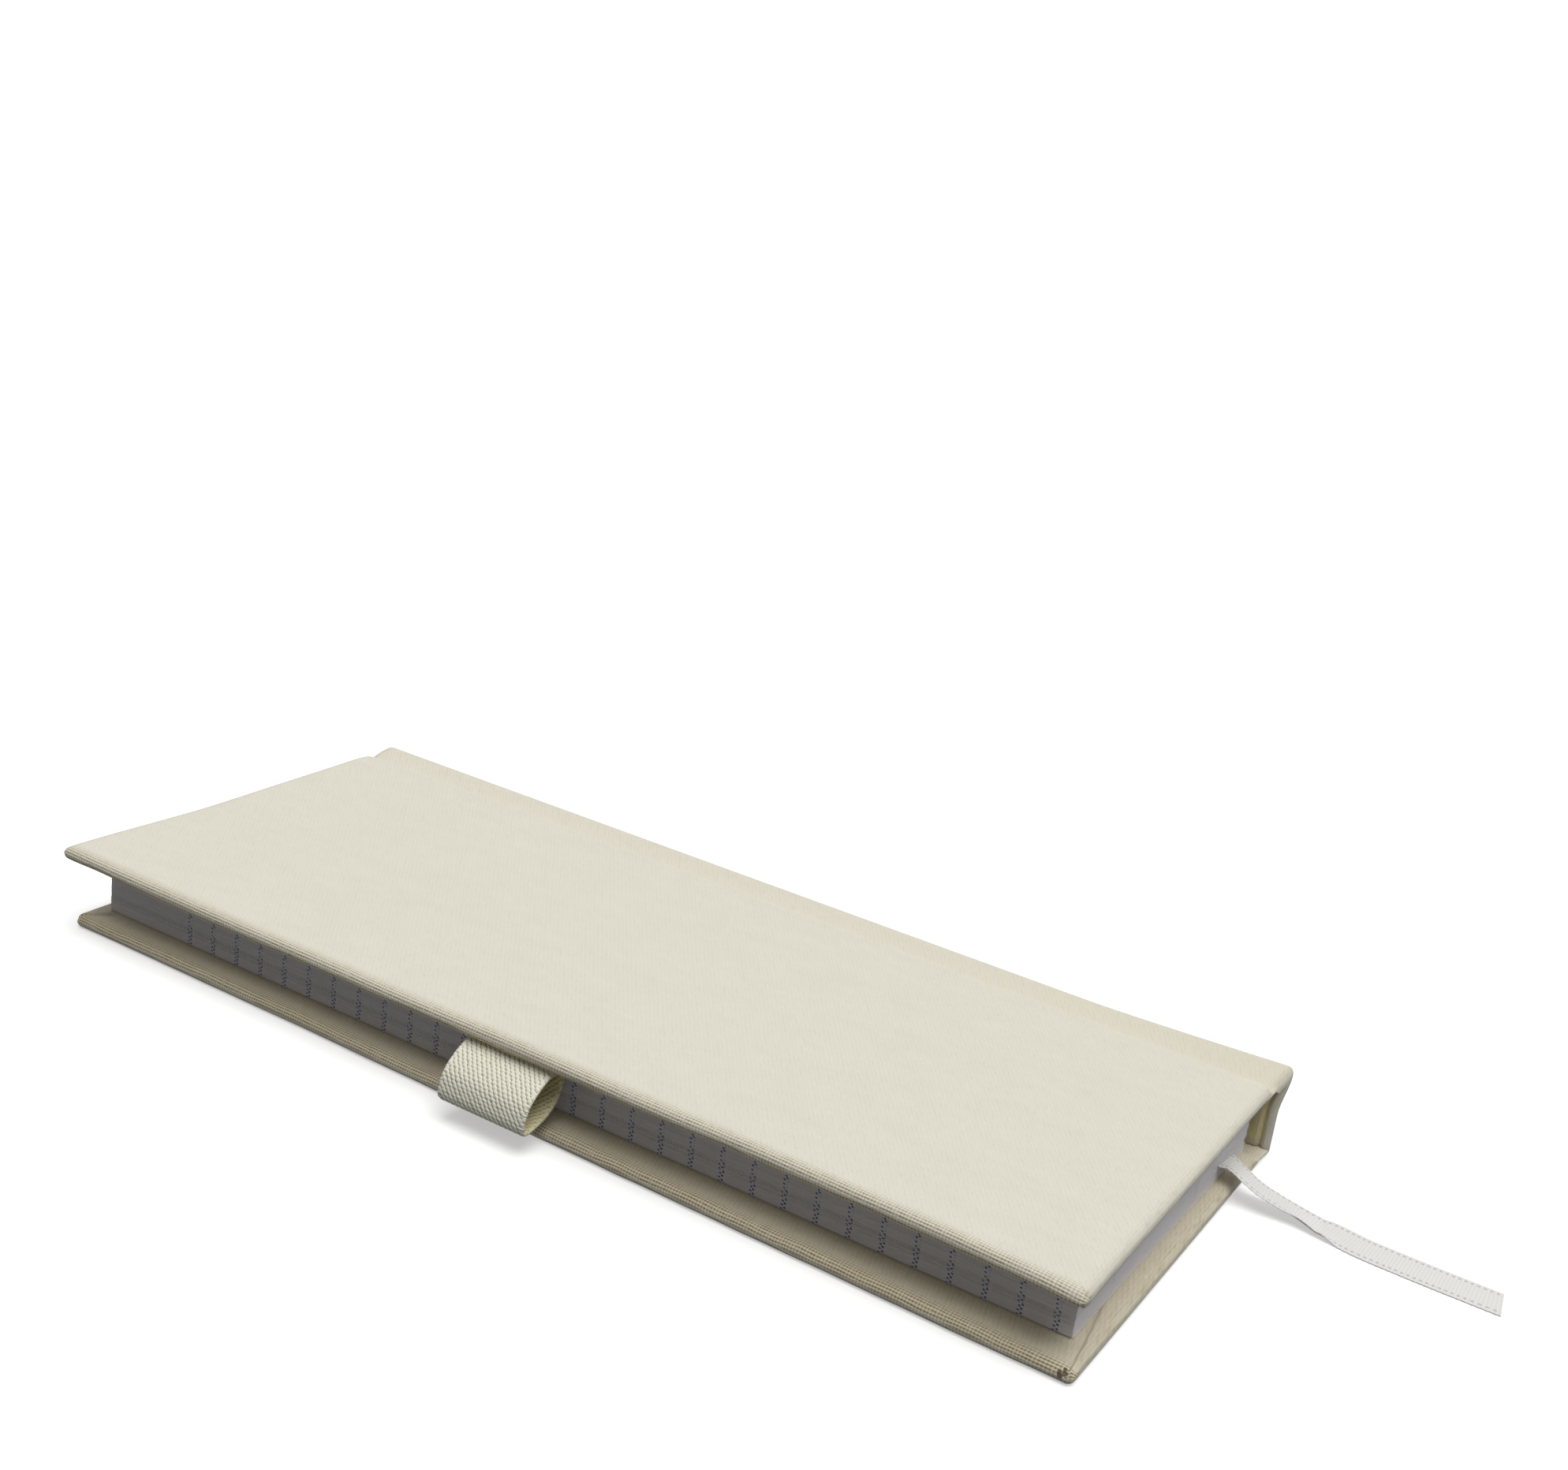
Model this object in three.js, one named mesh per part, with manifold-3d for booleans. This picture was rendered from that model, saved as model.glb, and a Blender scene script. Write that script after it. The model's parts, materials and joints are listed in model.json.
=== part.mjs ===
// A slim case-bound tally book, closed and lying on its front cover.
// Millimetres. +Z up, +Y towards the head of the pages, +X towards the spine.
// The origin is the middle of the front cover's outside face, on the surface the book lies on.

import * as THREE from 'three';
import { mergeVertices } from 'three/addons/utils/BufferGeometryUtils.js';
import Module from 'manifold-3d';

const wasm = await Module();
wasm.setup();

// Paper
const pageWidth = 79;
const pageHeight = 216.05;
const leafThickness = 0.115;
const leavesPerSection = 16;
const leavesPerTurningGroup = 4;
const endpaperThickness = 0.15;

// Cover boards and cloth
const boardThickness = 1.9;
const clothThickness = 0.4;
const turnInWidth = 14;
const mitreSlit = 0.25;
const edgeRounding = 0.9;
const cornerRounding = 1.3;

// How far the covers stand past the pages
const headTailSquare = 3.1;
const foreEdgeSquare = 6.3;
const backCoverShift = 2.3;
const pastedownInset = 0.6;

// Joints between the covers and the spine
const hollowDepth = 5.4;
const grooveDepth = 1;
const foldClearance = 0.3;
const coverToFold = 0.2;
const foldToSpineCloth = 0.1;
const spineCornerRounding = 1;

// Linings and sewing on the back of the pages
const liningClearance = 0.45;
const mullThickness = 0.2;
const kraftThickness = 0.15;
const mullEndGap = 8;
const kraftEndGap = 2;
const threadDiameter = 0.3;
const linkStitchCount = 4;
const linkTurns = 10;
const stitchEndInset = 30;

// Marker ribbon
const ribbonWidth = 6.35;
const ribbonThickness = 0.26;
const ribbonSlot = 0.36;
const ribbonHeadInset = 3.5;
const ribbonTailInset = 12.2;
const ribbonPastHead = 1.2;
const ribbonGlueLength = 22;

// Elastic pen loop under the back cover
const loopWidth = 19;
const elasticThickness = 0.9;
const loopTabThickness = 0.4;
const loopTabInset = 2.8;
const loopTabEndMargin = 1.2;
const loopTabClearance = 0.3;

// Curves are drawn with this many steps
const arcSteps = 4;
const loopSteps = 56;
const threadSides = 8;

// Heights of the stack, from the surface up
const coverThickness = boardThickness + 2 * clothThickness;
const sectionThickness = leafThickness * leavesPerSection;
const turningThickness = leafThickness * leavesPerTurningGroup;
const frontPastedownTop = coverThickness + endpaperThickness;
const frontFlyleafTop = frontPastedownTop + endpaperThickness;
const section1Top = frontFlyleafTop + sectionThickness;
const section2LeftTop = section1Top + sectionThickness / 2;
const turning1Base = section2LeftTop + ribbonSlot;
const turning2Base = turning1Base + turningThickness;
const section3Base = turning1Base + sectionThickness / 2;
const section4Base = section3Base + sectionThickness;
const section5Base = section4Base + sectionThickness;
const section6Base = section5Base + sectionThickness;
const backFlyleafBase = section6Base + sectionThickness;
const backPastedownBase = backFlyleafBase + endpaperThickness;
const backCoverInside = backPastedownBase + endpaperThickness;
const bookThickness = backCoverInside + coverThickness;

// Places across the book, from the fore-edge to the spine
const bookWidth = foreEdgeSquare + pageWidth + hollowDepth + coverThickness;
const spineOutside = bookWidth / 2;
const spineInside = spineOutside - coverThickness;
const frontForeEdge = spineOutside - bookWidth;
const backForeEdge = frontForeEdge - backCoverShift;
const pageForeEdge = frontForeEdge + foreEdgeSquare;
const pageSpine = pageForeEdge + pageWidth;
const foldX = pageSpine + foldClearance;
const foldDepth = grooveDepth + clothThickness;
const coverEnd = foldX - coverToFold - clothThickness;
const spineClothStart = foldX + foldToSpineCloth;

// Places along the book, from the tail to the head
const pageEnd = pageHeight / 2;
const coverHalf = pageEnd + headTailSquare;
const stitchPitch = (pageHeight - 2 * stitchEndInset) / (linkStitchCount - 1);

const finishes = {
  cloth: new THREE.MeshStandardMaterial({ color: 0xe0ded0, roughness: 0.85, metalness: 0 }),
  board: new THREE.MeshStandardMaterial({ color: 0x9c9488, roughness: 0.95, metalness: 0 }),
  endpaper: new THREE.MeshStandardMaterial({ color: 0xf0efec, roughness: 0.8, metalness: 0 }),
  page: new THREE.MeshStandardMaterial({ color: 0xdedde1, roughness: 0.8, metalness: 0 }),
  mull: new THREE.MeshStandardMaterial({ color: 0xe8e4d6, roughness: 0.95, metalness: 0 }),
  kraft: new THREE.MeshStandardMaterial({ color: 0xb08a5c, roughness: 0.9, metalness: 0 }),
  thread: new THREE.MeshStandardMaterial({ color: 0xf4f2ea, roughness: 0.7, metalness: 0 }),
  satin: new THREE.MeshStandardMaterial({ color: 0xf5f5f4, roughness: 0.35, metalness: 0 }),
  elastic: new THREE.MeshStandardMaterial({ color: 0xdcdccb, roughness: 0.9, metalness: 0 }),
};

function solidOf(geometry) {
  const bare = geometry.clone();
  bare.deleteAttribute('normal');
  bare.deleteAttribute('uv');
  const merged = mergeVertices(bare);
  const vertProperties = new Float32Array(merged.attributes.position.array);
  const triVerts = new Uint32Array(merged.index.array);
  return new wasm.Manifold(new wasm.Mesh({ numProp: 3, vertProperties, triVerts }));
}

function geometryOf(solid) {
  const mesh = solid.getMesh();
  const geometry = new THREE.BufferGeometry();
  geometry.setAttribute('position', new THREE.BufferAttribute(mesh.vertProperties, 3));
  geometry.setIndex(new THREE.BufferAttribute(mesh.triVerts, 1));
  geometry.computeVertexNormals();
  return geometry;
}

function block(x0, x1, y0, y1, z0, z1) {
  const geometry = new THREE.BoxGeometry(1, 1, 1);
  const position = geometry.attributes.position;
  for (let i = 0; i < position.count; i += 1) {
    position.setXYZ(
      i,
      position.getX(i) < 0 ? Math.min(x0, x1) : Math.max(x0, x1),
      position.getY(i) < 0 ? Math.min(y0, y1) : Math.max(y0, y1),
      position.getZ(i) < 0 ? Math.min(z0, z1) : Math.max(z0, z1),
    );
  }
  return geometry;
}

// A section drawn across the book (x, z), run along it from y0 to y1.
function runAlongBook(shape, y0, y1) {
  const geometry = new THREE.ExtrudeGeometry(shape, {
    depth: y1 - y0,
    bevelEnabled: false,
    curveSegments: arcSteps,
  });
  geometry.rotateX(Math.PI / 2);
  geometry.translate(0, y1, 0);
  return geometry;
}

function named(name, geometry, finish) {
  const mesh = new THREE.Mesh(geometry, finish);
  mesh.name = name;
  return mesh;
}

// A cover is drawn from its outside face inwards: depth 0 is the outside, at height outside,
// and way is +1 for the front cover under the pages and -1 for the back cover over them.
function depthAt(outside, way) {
  return (depth) => outside + way * depth;
}

// Cloth glued round the board, turned in over its three free edges and mitred at the corners.
function coverCloth(foreEdge, outside, way) {
  const at = depthAt(outside, way);
  const outline = new THREE.Shape();
  const r = cornerRounding;
  outline.moveTo(foreEdge + r, -coverHalf);
  outline.lineTo(coverEnd - r, -coverHalf);
  outline.quadraticCurveTo(coverEnd, -coverHalf, coverEnd, -coverHalf + r);
  outline.lineTo(coverEnd, coverHalf - r);
  outline.quadraticCurveTo(coverEnd, coverHalf, coverEnd - r, coverHalf);
  outline.lineTo(foreEdge + r, coverHalf);
  outline.quadraticCurveTo(foreEdge, coverHalf, foreEdge, coverHalf - r);
  outline.lineTo(foreEdge, -coverHalf + r);
  outline.quadraticCurveTo(foreEdge, -coverHalf, foreEdge + r, -coverHalf);
  const wrapped = new THREE.ExtrudeGeometry(outline, {
    depth: coverThickness - 2 * edgeRounding,
    bevelThickness: edgeRounding,
    bevelSize: edgeRounding,
    bevelOffset: -edgeRounding,
    bevelSegments: arcSteps,
    curveSegments: arcSteps,
  });
  wrapped.translate(0, 0, Math.min(at(0), at(coverThickness)) + edgeRounding);

  const turnInDepth = coverThickness - clothThickness;
  const reach = coverHalf - clothThickness;
  const window = coverHalf - turnInWidth;
  const windowStart = foreEdge + turnInWidth;
  const past = coverEnd + clothThickness;
  let cloth = solidOf(wrapped)
    .subtract(solidOf(boardBlock(foreEdge, outside, way)))
    .subtract(solidOf(block(
      windowStart, past, -window, window,
      at(turnInDepth - clothThickness), at(coverThickness + clothThickness),
    )))
    .subtract(solidOf(block(
      coverEnd - 2 * clothThickness, past, -reach, reach, at(coverThickness / 2), at(turnInDepth),
    )));
  for (const end of [-1, 1]) {
    const slit = mitre(foreEdge, end, at(turnInDepth), at(coverThickness + clothThickness));
    cloth = cloth.subtract(solidOf(slit));
  }
  return cloth.add(solidOf(foldLip(at)));
}

// The cloth rolls over the board's edge into the groove and thins to the line it folds on.
function foldLip(at) {
  const start = coverEnd - clothThickness / 2;
  const rise = clothThickness;
  const shape = new THREE.Shape();
  shape.moveTo(start, at(foldDepth - rise));
  shape.lineTo(coverEnd, at(foldDepth - rise));
  shape.lineTo(foldX - coverToFold, at(foldDepth));
  shape.lineTo(coverEnd, at(foldDepth + rise));
  shape.lineTo(start, at(foldDepth + rise));
  shape.closePath();
  return runAlongBook(shape, cornerRounding - coverHalf, coverHalf - cornerRounding);
}

// The slit where the fore-edge turn-in meets the one at the head or tail.
function mitre(foreEdge, end, z0, z1) {
  const outerGap = 2 * edgeRounding;
  const length = (turnInWidth - outerGap) * Math.SQRT2;
  const slit = block(-length / 2, length / 2, -mitreSlit / 2, mitreSlit / 2, z0, z1);
  slit.rotateZ(-end * Math.PI / 4);
  const middle = (turnInWidth + outerGap) / 2;
  slit.translate(foreEdge + middle, end * (coverHalf - middle), 0);
  return slit;
}

function boardBlock(foreEdge, outside, way) {
  const at = depthAt(outside, way);
  const reach = coverHalf - clothThickness;
  return block(
    foreEdge + clothThickness, coverEnd - clothThickness, -reach, reach,
    at(clothThickness), at(clothThickness + boardThickness),
  );
}

// The pastedown sinks onto the board inside the turn-ins and laps over them.
function pastedown(foreEdge, outside, way) {
  const at = depthAt(outside, way);
  const start = pageForeEdge - pastedownInset;
  const reach = pageEnd - pastedownInset;
  const window = coverHalf - turnInWidth;
  const windowStart = foreEdge + turnInWidth;
  const floorDepth = clothThickness + boardThickness;
  const end = coverEnd;
  const lapped = solidOf(block(
    start, end, -reach, reach, at(coverThickness), at(coverThickness + endpaperThickness),
  ));
  const sunk = solidOf(block(
    windowStart, end, -window, window, at(floorDepth), at(coverThickness + endpaperThickness),
  ));
  const wall = endpaperThickness;
  const hollow = solidOf(block(
    windowStart + wall, end + wall, -window + wall, window - wall,
    at(floorDepth + endpaperThickness), at(coverThickness + 2 * endpaperThickness),
  ));
  return lapped.add(sunk).subtract(hollow);
}

function coverPieces(foreEdge, outside, way) {
  return {
    cloth: coverCloth(foreEdge, outside, way),
    board: solidOf(boardBlock(foreEdge, outside, way)),
    pastedown: pastedown(foreEdge, outside, way),
  };
}

// Folded leaves: square at the fore-edge, round at the folds. low and high say which
// corners of the folded edge are the outside of the fold.
function foldedLeaves(z0, z1, low, high) {
  const half = sectionThickness / 2;
  const lowRound = low ? Math.min(half, z1 - z0) : 0;
  const highRound = high ? Math.min(half, z1 - z0) : 0;
  const shape = new THREE.Shape();
  shape.moveTo(pageForeEdge, z0);
  shape.lineTo(pageSpine - lowRound, z0);
  if (low) shape.quadraticCurveTo(pageSpine, z0, pageSpine, z0 + lowRound);
  if (high) {
    if (z1 - highRound > z0 + lowRound) shape.lineTo(pageSpine, z1 - highRound);
    shape.quadraticCurveTo(pageSpine, z1, pageSpine - highRound, z1);
  } else {
    shape.lineTo(pageSpine, z1);
  }
  shape.lineTo(pageForeEdge, z1);
  shape.closePath();
  return runAlongBook(shape, -pageEnd, pageEnd);
}

function flyleaf(z0) {
  return block(pageForeEdge, pageSpine - foldClearance, -pageEnd, pageEnd, z0, z0 + endpaperThickness);
}

// The spine's cloth as a channel, open towards the pages, with its two joint strips sloping
// down into the grooves and thinning to the lines that they fold on.
function spineChannel(stripThickness, wallThickness) {
  const r = spineCornerRounding;
  const shape = new THREE.Shape();
  const top = bookThickness;
  const full = spineClothStart + clothThickness;
  const wall = spineOutside - wallThickness;
  const wallLow = stripThickness + grooveSlopeAt(wallThickness);
  shape.moveTo(spineClothStart, foldDepth);
  shape.lineTo(full, grooveDepth);
  shape.lineTo(spineOutside - 2 * r, 0);
  shape.lineTo(spineOutside - r, 0);
  shape.quadraticCurveTo(spineOutside, 0, spineOutside, r);
  shape.lineTo(spineOutside, top - r);
  shape.quadraticCurveTo(spineOutside, top, spineOutside - r, top);
  shape.lineTo(spineOutside - 2 * r, top);
  shape.lineTo(full, top - grooveDepth);
  shape.lineTo(spineClothStart, top - foldDepth);
  if (stripThickness > clothThickness) shape.lineTo(full, top - grooveDepth - stripThickness);
  shape.lineTo(wall, top - wallLow);
  shape.lineTo(wall, wallLow);
  if (stripThickness > clothThickness) shape.lineTo(full, grooveDepth + stripThickness);
  shape.closePath();
  return shape;
}

// How deep the joint strip lies at a distance inside the spine's outside face.
function grooveSlopeAt(distance) {
  const run = spineOutside - 2 * spineCornerRounding - spineClothStart - clothThickness;
  const along = Math.max(0, distance - 2 * spineCornerRounding);
  return grooveDepth * Math.min(1, along / run);
}

const spineBoardLow = clothThickness + grooveSlopeAt(coverThickness);
const spineBoardHigh = bookThickness - spineBoardLow;

function spineBoard() {
  const reach = coverHalf - clothThickness;
  return block(
    spineInside + clothThickness, spineOutside - clothThickness, -reach, reach, spineBoardLow, spineBoardHigh,
  );
}

function spineCloth() {
  let cloth = solidOf(runAlongBook(spineChannel(clothThickness, clothThickness), -coverHalf, coverHalf));
  const folded = spineChannel(2 * clothThickness, coverThickness);
  for (const end of [-1, 1]) {
    const turnInStart = end * (coverHalf - turnInWidth);
    const edge = end * coverHalf;
    const turnIn = runAlongBook(folded, Math.min(turnInStart, edge), Math.max(turnInStart, edge));
    cloth = cloth.add(solidOf(turnIn));
  }
  return geometryOf(cloth.subtract(solidOf(spineBoard())));
}

function threadAlong(points) {
  const section = new THREE.Shape();
  section.absarc(0, 0, threadDiameter / 2, 0, 2 * Math.PI);
  return new THREE.ExtrudeGeometry(section, {
    steps: points.length - 1,
    curveSegments: threadSides / 2,
    bevelEnabled: false,
    extrudePath: new THREE.CatmullRomCurve3(points),
  });
}

// One link of the sewing, up the back of the sections at a station.
function linkStitch(y) {
  const x = pageSpine + liningClearance / 2;
  const swing = threadDiameter / 2;
  const low = frontFlyleafTop + sectionThickness / 2;
  const high = backFlyleafBase - sectionThickness / 2;
  const points = [];
  for (let i = 0; i <= linkTurns; i += 1) {
    const side = i % 2 === 0 ? -1 : 1;
    points.push(new THREE.Vector3(x, y + side * swing, low + (high - low) * i / linkTurns));
  }
  return threadAlong(points);
}

// The stitch that shows in the fold in the middle of the second section.
function foldStitch(y0, y1) {
  const x = pageSpine - threadDiameter;
  const z = section2LeftTop + ribbonSlot / 2;
  return threadAlong([
    new THREE.Vector3(x, y0, z),
    new THREE.Vector3(x, (y0 + y1) / 2, z),
    new THREE.Vector3(x, y1, z),
  ]);
}

// A flat band through centres, each with the direction of the band's width.
function band(centres, across, width, thickness) {
  const vertices = [];
  const index = [];
  centres.forEach((centre, i) => {
    const before = centres[Math.max(0, i - 1)];
    const after = centres[Math.min(centres.length - 1, i + 1)];
    const along = after.clone().sub(before).normalize();
    const side = across[i].clone().addScaledVector(along, -across[i].dot(along)).normalize();
    const up = side.clone().cross(along).normalize();
    for (const [a, b] of [[-1, -1], [1, -1], [1, 1], [-1, 1]]) {
      const corner = centre.clone()
        .addScaledVector(side, a * width / 2)
        .addScaledVector(up, b * thickness / 2);
      vertices.push(corner.x, corner.y, corner.z);
    }
  });
  const last = 4 * (centres.length - 1);
  for (let ring = 0; ring < last; ring += 4) {
    for (let k = 0; k < 4; k += 1) {
      const a = ring + k;
      const b = ring + (k + 1) % 4;
      index.push(a, b + 4, b, a, a + 4, b + 4);
    }
  }
  index.push(0, 1, 2, 0, 2, 3, last, last + 2, last + 1, last, last + 3, last + 2);
  const geometry = new THREE.BufferGeometry();
  geometry.setAttribute('position', new THREE.Float32BufferAttribute(vertices, 3));
  geometry.setIndex(index);
  geometry.computeVertexNormals();
  return geometry;
}

const ribbonHeight = section2LeftTop + ribbonSlot / 2;
const ribbonHeadX = pageSpine - ribbonHeadInset;
const ribbonTailX = pageSpine - ribbonTailInset;

// The marker lies aslant between the pages, from the head of the spine to the tail.
function ribbonMarker() {
  const head = new THREE.Vector3(ribbonHeadX, pageEnd + ribbonPastHead, ribbonHeight);
  const tail = new THREE.Vector3(ribbonTailX, -pageEnd, ribbonHeight);
  const width = new THREE.Vector3(1, 0, 0);
  return band([head, tail], [width, width], ribbonWidth, ribbonThickness);
}

function ribbonAnchor() {
  const x = pageSpine + liningClearance / 2;
  return block(
    x - ribbonThickness / 2, x + ribbonThickness / 2,
    pageEnd - ribbonGlueLength, pageEnd + ribbonPastHead,
    ribbonHeight - ribbonThickness / 2, ribbonHeight - ribbonThickness / 2 + ribbonWidth,
  );
}

// The free tail: out between the pages, over the edge of the front cover, down to the
// surface and along it to a square-cut end. x, y, z of its middle.
const ribbonTailRoute = [
  [0, -0.3, 0], [-0.15, -1.8, -0.2], [-0.5, -3.4, -0.6], [-0.85, -4.9, -1.15], [-1.05, -6.4, -1.75],
  [-1.05, -8.1, -2.4], [-0.85, -10, -3], [-0.55, -12.1, -3.65], [-0.35, -14.6, -4.4], [-0.45, -17.4, -5.1],
  [-0.8, -20.6, -5.6], [-1.35, -23.9, -5.8], [-1.95, -27.2, -5.8], [-2.2, -30.6, -5.8],
  [-2.3, -34, -5.8], [-2.4, -37.6, -5.8], [-2.45, -41.4, -5.8], [-2.45, -45.2, -5.8],
  [-2.45, -48.8, -5.8], [-2.45, -52.1, -5.8],
];

function ribbonTail() {
  const centres = ribbonTailRoute.map(([x, y, z]) => new THREE.Vector3(
    ribbonTailX + x, -pageEnd + y, Math.max(ribbonHeight + z, ribbonThickness),
  ));
  const width = new THREE.Vector3(1, 0, 0);
  return band(centres, centres.map(() => width), ribbonWidth, ribbonThickness);
}

// The pen loop hangs from the back cover's inside face: its middle line across the book,
// as distances out from the back cover's fore-edge and down from the inside face.
const loopLine = [
  [4.6, 0.45], [2.2, 0.75], [-1.6, 2.3], [-4.6, 4.8], [-5.6, 7.8],
  [-4.3, 10.1], [-1.6, 9.9], [1.4, 8.9], [3.9, 6.6], [5.2, 3.1],
];

function loopOutline(offset) {
  const curve = new THREE.CatmullRomCurve3(
    loopLine.map(([inwards, down]) => new THREE.Vector3(backForeEdge + inwards, backCoverInside - down, 0)),
    true,
  );
  const points = [];
  for (let i = 0; i < loopSteps; i += 1) {
    const t = i / loopSteps;
    const tangent = curve.getTangentAt(t);
    const point = curve.getPointAt(t);
    points.push(new THREE.Vector2(point.x + tangent.y * offset, point.y - tangent.x * offset));
  }
  return points;
}

const loopTabStart = backForeEdge + loopTabInset;
const loopTabEnd = backForeEdge + turnInWidth - loopTabEndMargin;

function loopTab(margin, z0, z1) {
  const half = loopWidth / 2 + margin;
  return block(loopTabStart - margin, loopTabEnd + margin, -half, half, z0, z1);
}

function penLoop() {
  const half = elasticThickness / 2;
  const ring = new THREE.Shape(loopOutline(half));
  ring.holes.push(new THREE.Path(loopOutline(-half)));
  const loop = solidOf(runAlongBook(ring, -loopWidth / 2, loopWidth / 2));
  const tab = solidOf(loopTab(0, backCoverInside, backCoverInside + loopTabThickness));
  const root = solidOf(block(
    loopTabStart + elasticThickness / 2, loopTabStart + 2 * elasticThickness, -loopWidth / 2, loopWidth / 2,
    backCoverInside - half, backCoverInside + loopTabThickness,
  ));
  return geometryOf(loop.add(tab).add(root));
}

// The elastic's glued ends press the turn-in and the board of the back cover in.
function pressForLoop(pieces) {
  const face = backCoverInside;
  const pressed = clothThickness + loopTabThickness;
  const around = loopTabClearance + clothThickness;
  const dent = solidOf(loopTab(around, face, face + pressed));
  const room = solidOf(loopTab(loopTabClearance, face - clothThickness, face + loopTabThickness));
  return {
    board: pieces.board.subtract(dent),
    cloth: pieces.cloth.add(dent).subtract(room),
  };
}

const book = new THREE.Group();

const frontCover = new THREE.Group();
const front = coverPieces(frontForeEdge, 0, 1);
frontCover.add(
  named('front_cover_cloth', geometryOf(front.cloth), finishes.cloth),
  named('front_board', geometryOf(front.board), finishes.board),
  named('front_pastedown', geometryOf(front.pastedown), finishes.endpaper),
  named('front_flyleaf', flyleaf(frontPastedownTop), finishes.endpaper),
  named('section_1', foldedLeaves(frontFlyleafTop, section1Top, true, true), finishes.page),
  named('section_2_left', foldedLeaves(section1Top, section2LeftTop, true, false), finishes.page),
  named('ribbon_marker', ribbonMarker(), finishes.satin),
  named('ribbon_tail', ribbonTail(), finishes.satin),
);
for (const [name, side] of [['fold_stitch_head', 1], ['fold_stitch_tail', -1]]) {
  const near = side * stitchPitch / 2;
  const far = side * stitchPitch * 3 / 2;
  frontCover.add(named(name, foldStitch(Math.min(near, far), Math.max(near, far)), finishes.thread));
}

const spine = new THREE.Group();
const mullX = pageSpine + liningClearance;
const kraftX = mullX + mullThickness;
spine.add(
  named('spine_cloth', spineCloth(), finishes.cloth),
  named('spine_board', spineBoard(), finishes.board),
  named('mull_lining', block(
    mullX, kraftX, mullEndGap - pageEnd, pageEnd - mullEndGap, frontFlyleafTop, backFlyleafBase,
  ), finishes.mull),
  named('kraft_lining', block(
    kraftX, kraftX + kraftThickness, kraftEndGap - pageEnd, pageEnd - kraftEndGap,
    frontFlyleafTop, backFlyleafBase,
  ), finishes.kraft),
  named('ribbon_anchor', ribbonAnchor(), finishes.satin),
);
for (let i = 0; i < linkStitchCount; i += 1) {
  const y = (i - (linkStitchCount - 1) / 2) * stitchPitch;
  spine.add(named(`link_stitch_${i + 1}`, linkStitch(y), finishes.thread));
}

const turningLeaves = new THREE.Group();
turningLeaves.add(
  named('turning_leaves_1', foldedLeaves(turning1Base, turning2Base, false, false), finishes.page),
  named('turning_leaves_2', foldedLeaves(turning2Base, section3Base, false, true), finishes.page),
  named('section_3', foldedLeaves(section3Base, section4Base, true, true), finishes.page),
  named('section_4', foldedLeaves(section4Base, section5Base, true, true), finishes.page),
);

const backCover = new THREE.Group();
const back = coverPieces(backForeEdge, bookThickness, -1);
const pressed = pressForLoop(back);
backCover.add(
  named('section_5', foldedLeaves(section5Base, section6Base, true, true), finishes.page),
  named('section_6', foldedLeaves(section6Base, backFlyleafBase, true, true), finishes.page),
  named('back_flyleaf', flyleaf(backFlyleafBase), finishes.endpaper),
  named('back_pastedown', geometryOf(back.pastedown), finishes.endpaper),
  named('back_board', geometryOf(pressed.board), finishes.board),
  named('back_cover_cloth', geometryOf(pressed.cloth), finishes.cloth),
  named('pen_loop', penLoop(), finishes.elastic),
);

book.add(frontCover, spine, turningLeaves, backCover);

export default book;
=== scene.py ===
# A slim case-bound tally book in ivory cloth, closed and lying on its front cover.
# Metres, +Z up, +Y towards the head of the pages, +X towards the spine.

import json
import math
import random

import bmesh
import bpy
from mathutils import Matrix, Vector, noise


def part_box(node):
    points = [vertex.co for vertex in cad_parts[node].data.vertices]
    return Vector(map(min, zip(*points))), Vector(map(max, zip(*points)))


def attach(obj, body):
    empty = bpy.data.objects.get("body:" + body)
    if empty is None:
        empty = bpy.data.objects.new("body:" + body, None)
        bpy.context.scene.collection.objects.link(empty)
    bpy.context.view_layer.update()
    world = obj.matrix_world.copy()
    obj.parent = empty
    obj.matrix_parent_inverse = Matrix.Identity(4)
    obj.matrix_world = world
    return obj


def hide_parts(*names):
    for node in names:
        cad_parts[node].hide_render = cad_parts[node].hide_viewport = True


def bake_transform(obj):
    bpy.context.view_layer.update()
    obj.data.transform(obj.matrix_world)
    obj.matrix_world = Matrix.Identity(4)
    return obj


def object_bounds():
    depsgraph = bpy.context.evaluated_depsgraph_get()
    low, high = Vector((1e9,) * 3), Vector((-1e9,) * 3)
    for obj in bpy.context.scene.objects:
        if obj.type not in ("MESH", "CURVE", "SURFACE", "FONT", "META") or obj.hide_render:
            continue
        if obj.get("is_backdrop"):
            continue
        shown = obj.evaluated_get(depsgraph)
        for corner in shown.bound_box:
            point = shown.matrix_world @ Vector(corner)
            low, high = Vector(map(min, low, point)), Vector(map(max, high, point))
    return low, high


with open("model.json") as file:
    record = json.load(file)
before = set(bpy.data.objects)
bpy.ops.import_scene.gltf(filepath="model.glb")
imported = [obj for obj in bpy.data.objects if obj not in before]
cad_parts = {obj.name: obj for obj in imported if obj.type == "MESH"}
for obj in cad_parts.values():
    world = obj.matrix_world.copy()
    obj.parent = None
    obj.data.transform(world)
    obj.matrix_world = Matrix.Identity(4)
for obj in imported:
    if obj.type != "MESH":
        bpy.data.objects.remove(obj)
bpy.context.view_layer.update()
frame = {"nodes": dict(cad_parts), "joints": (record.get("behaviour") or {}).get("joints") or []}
MM = 0.001

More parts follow.
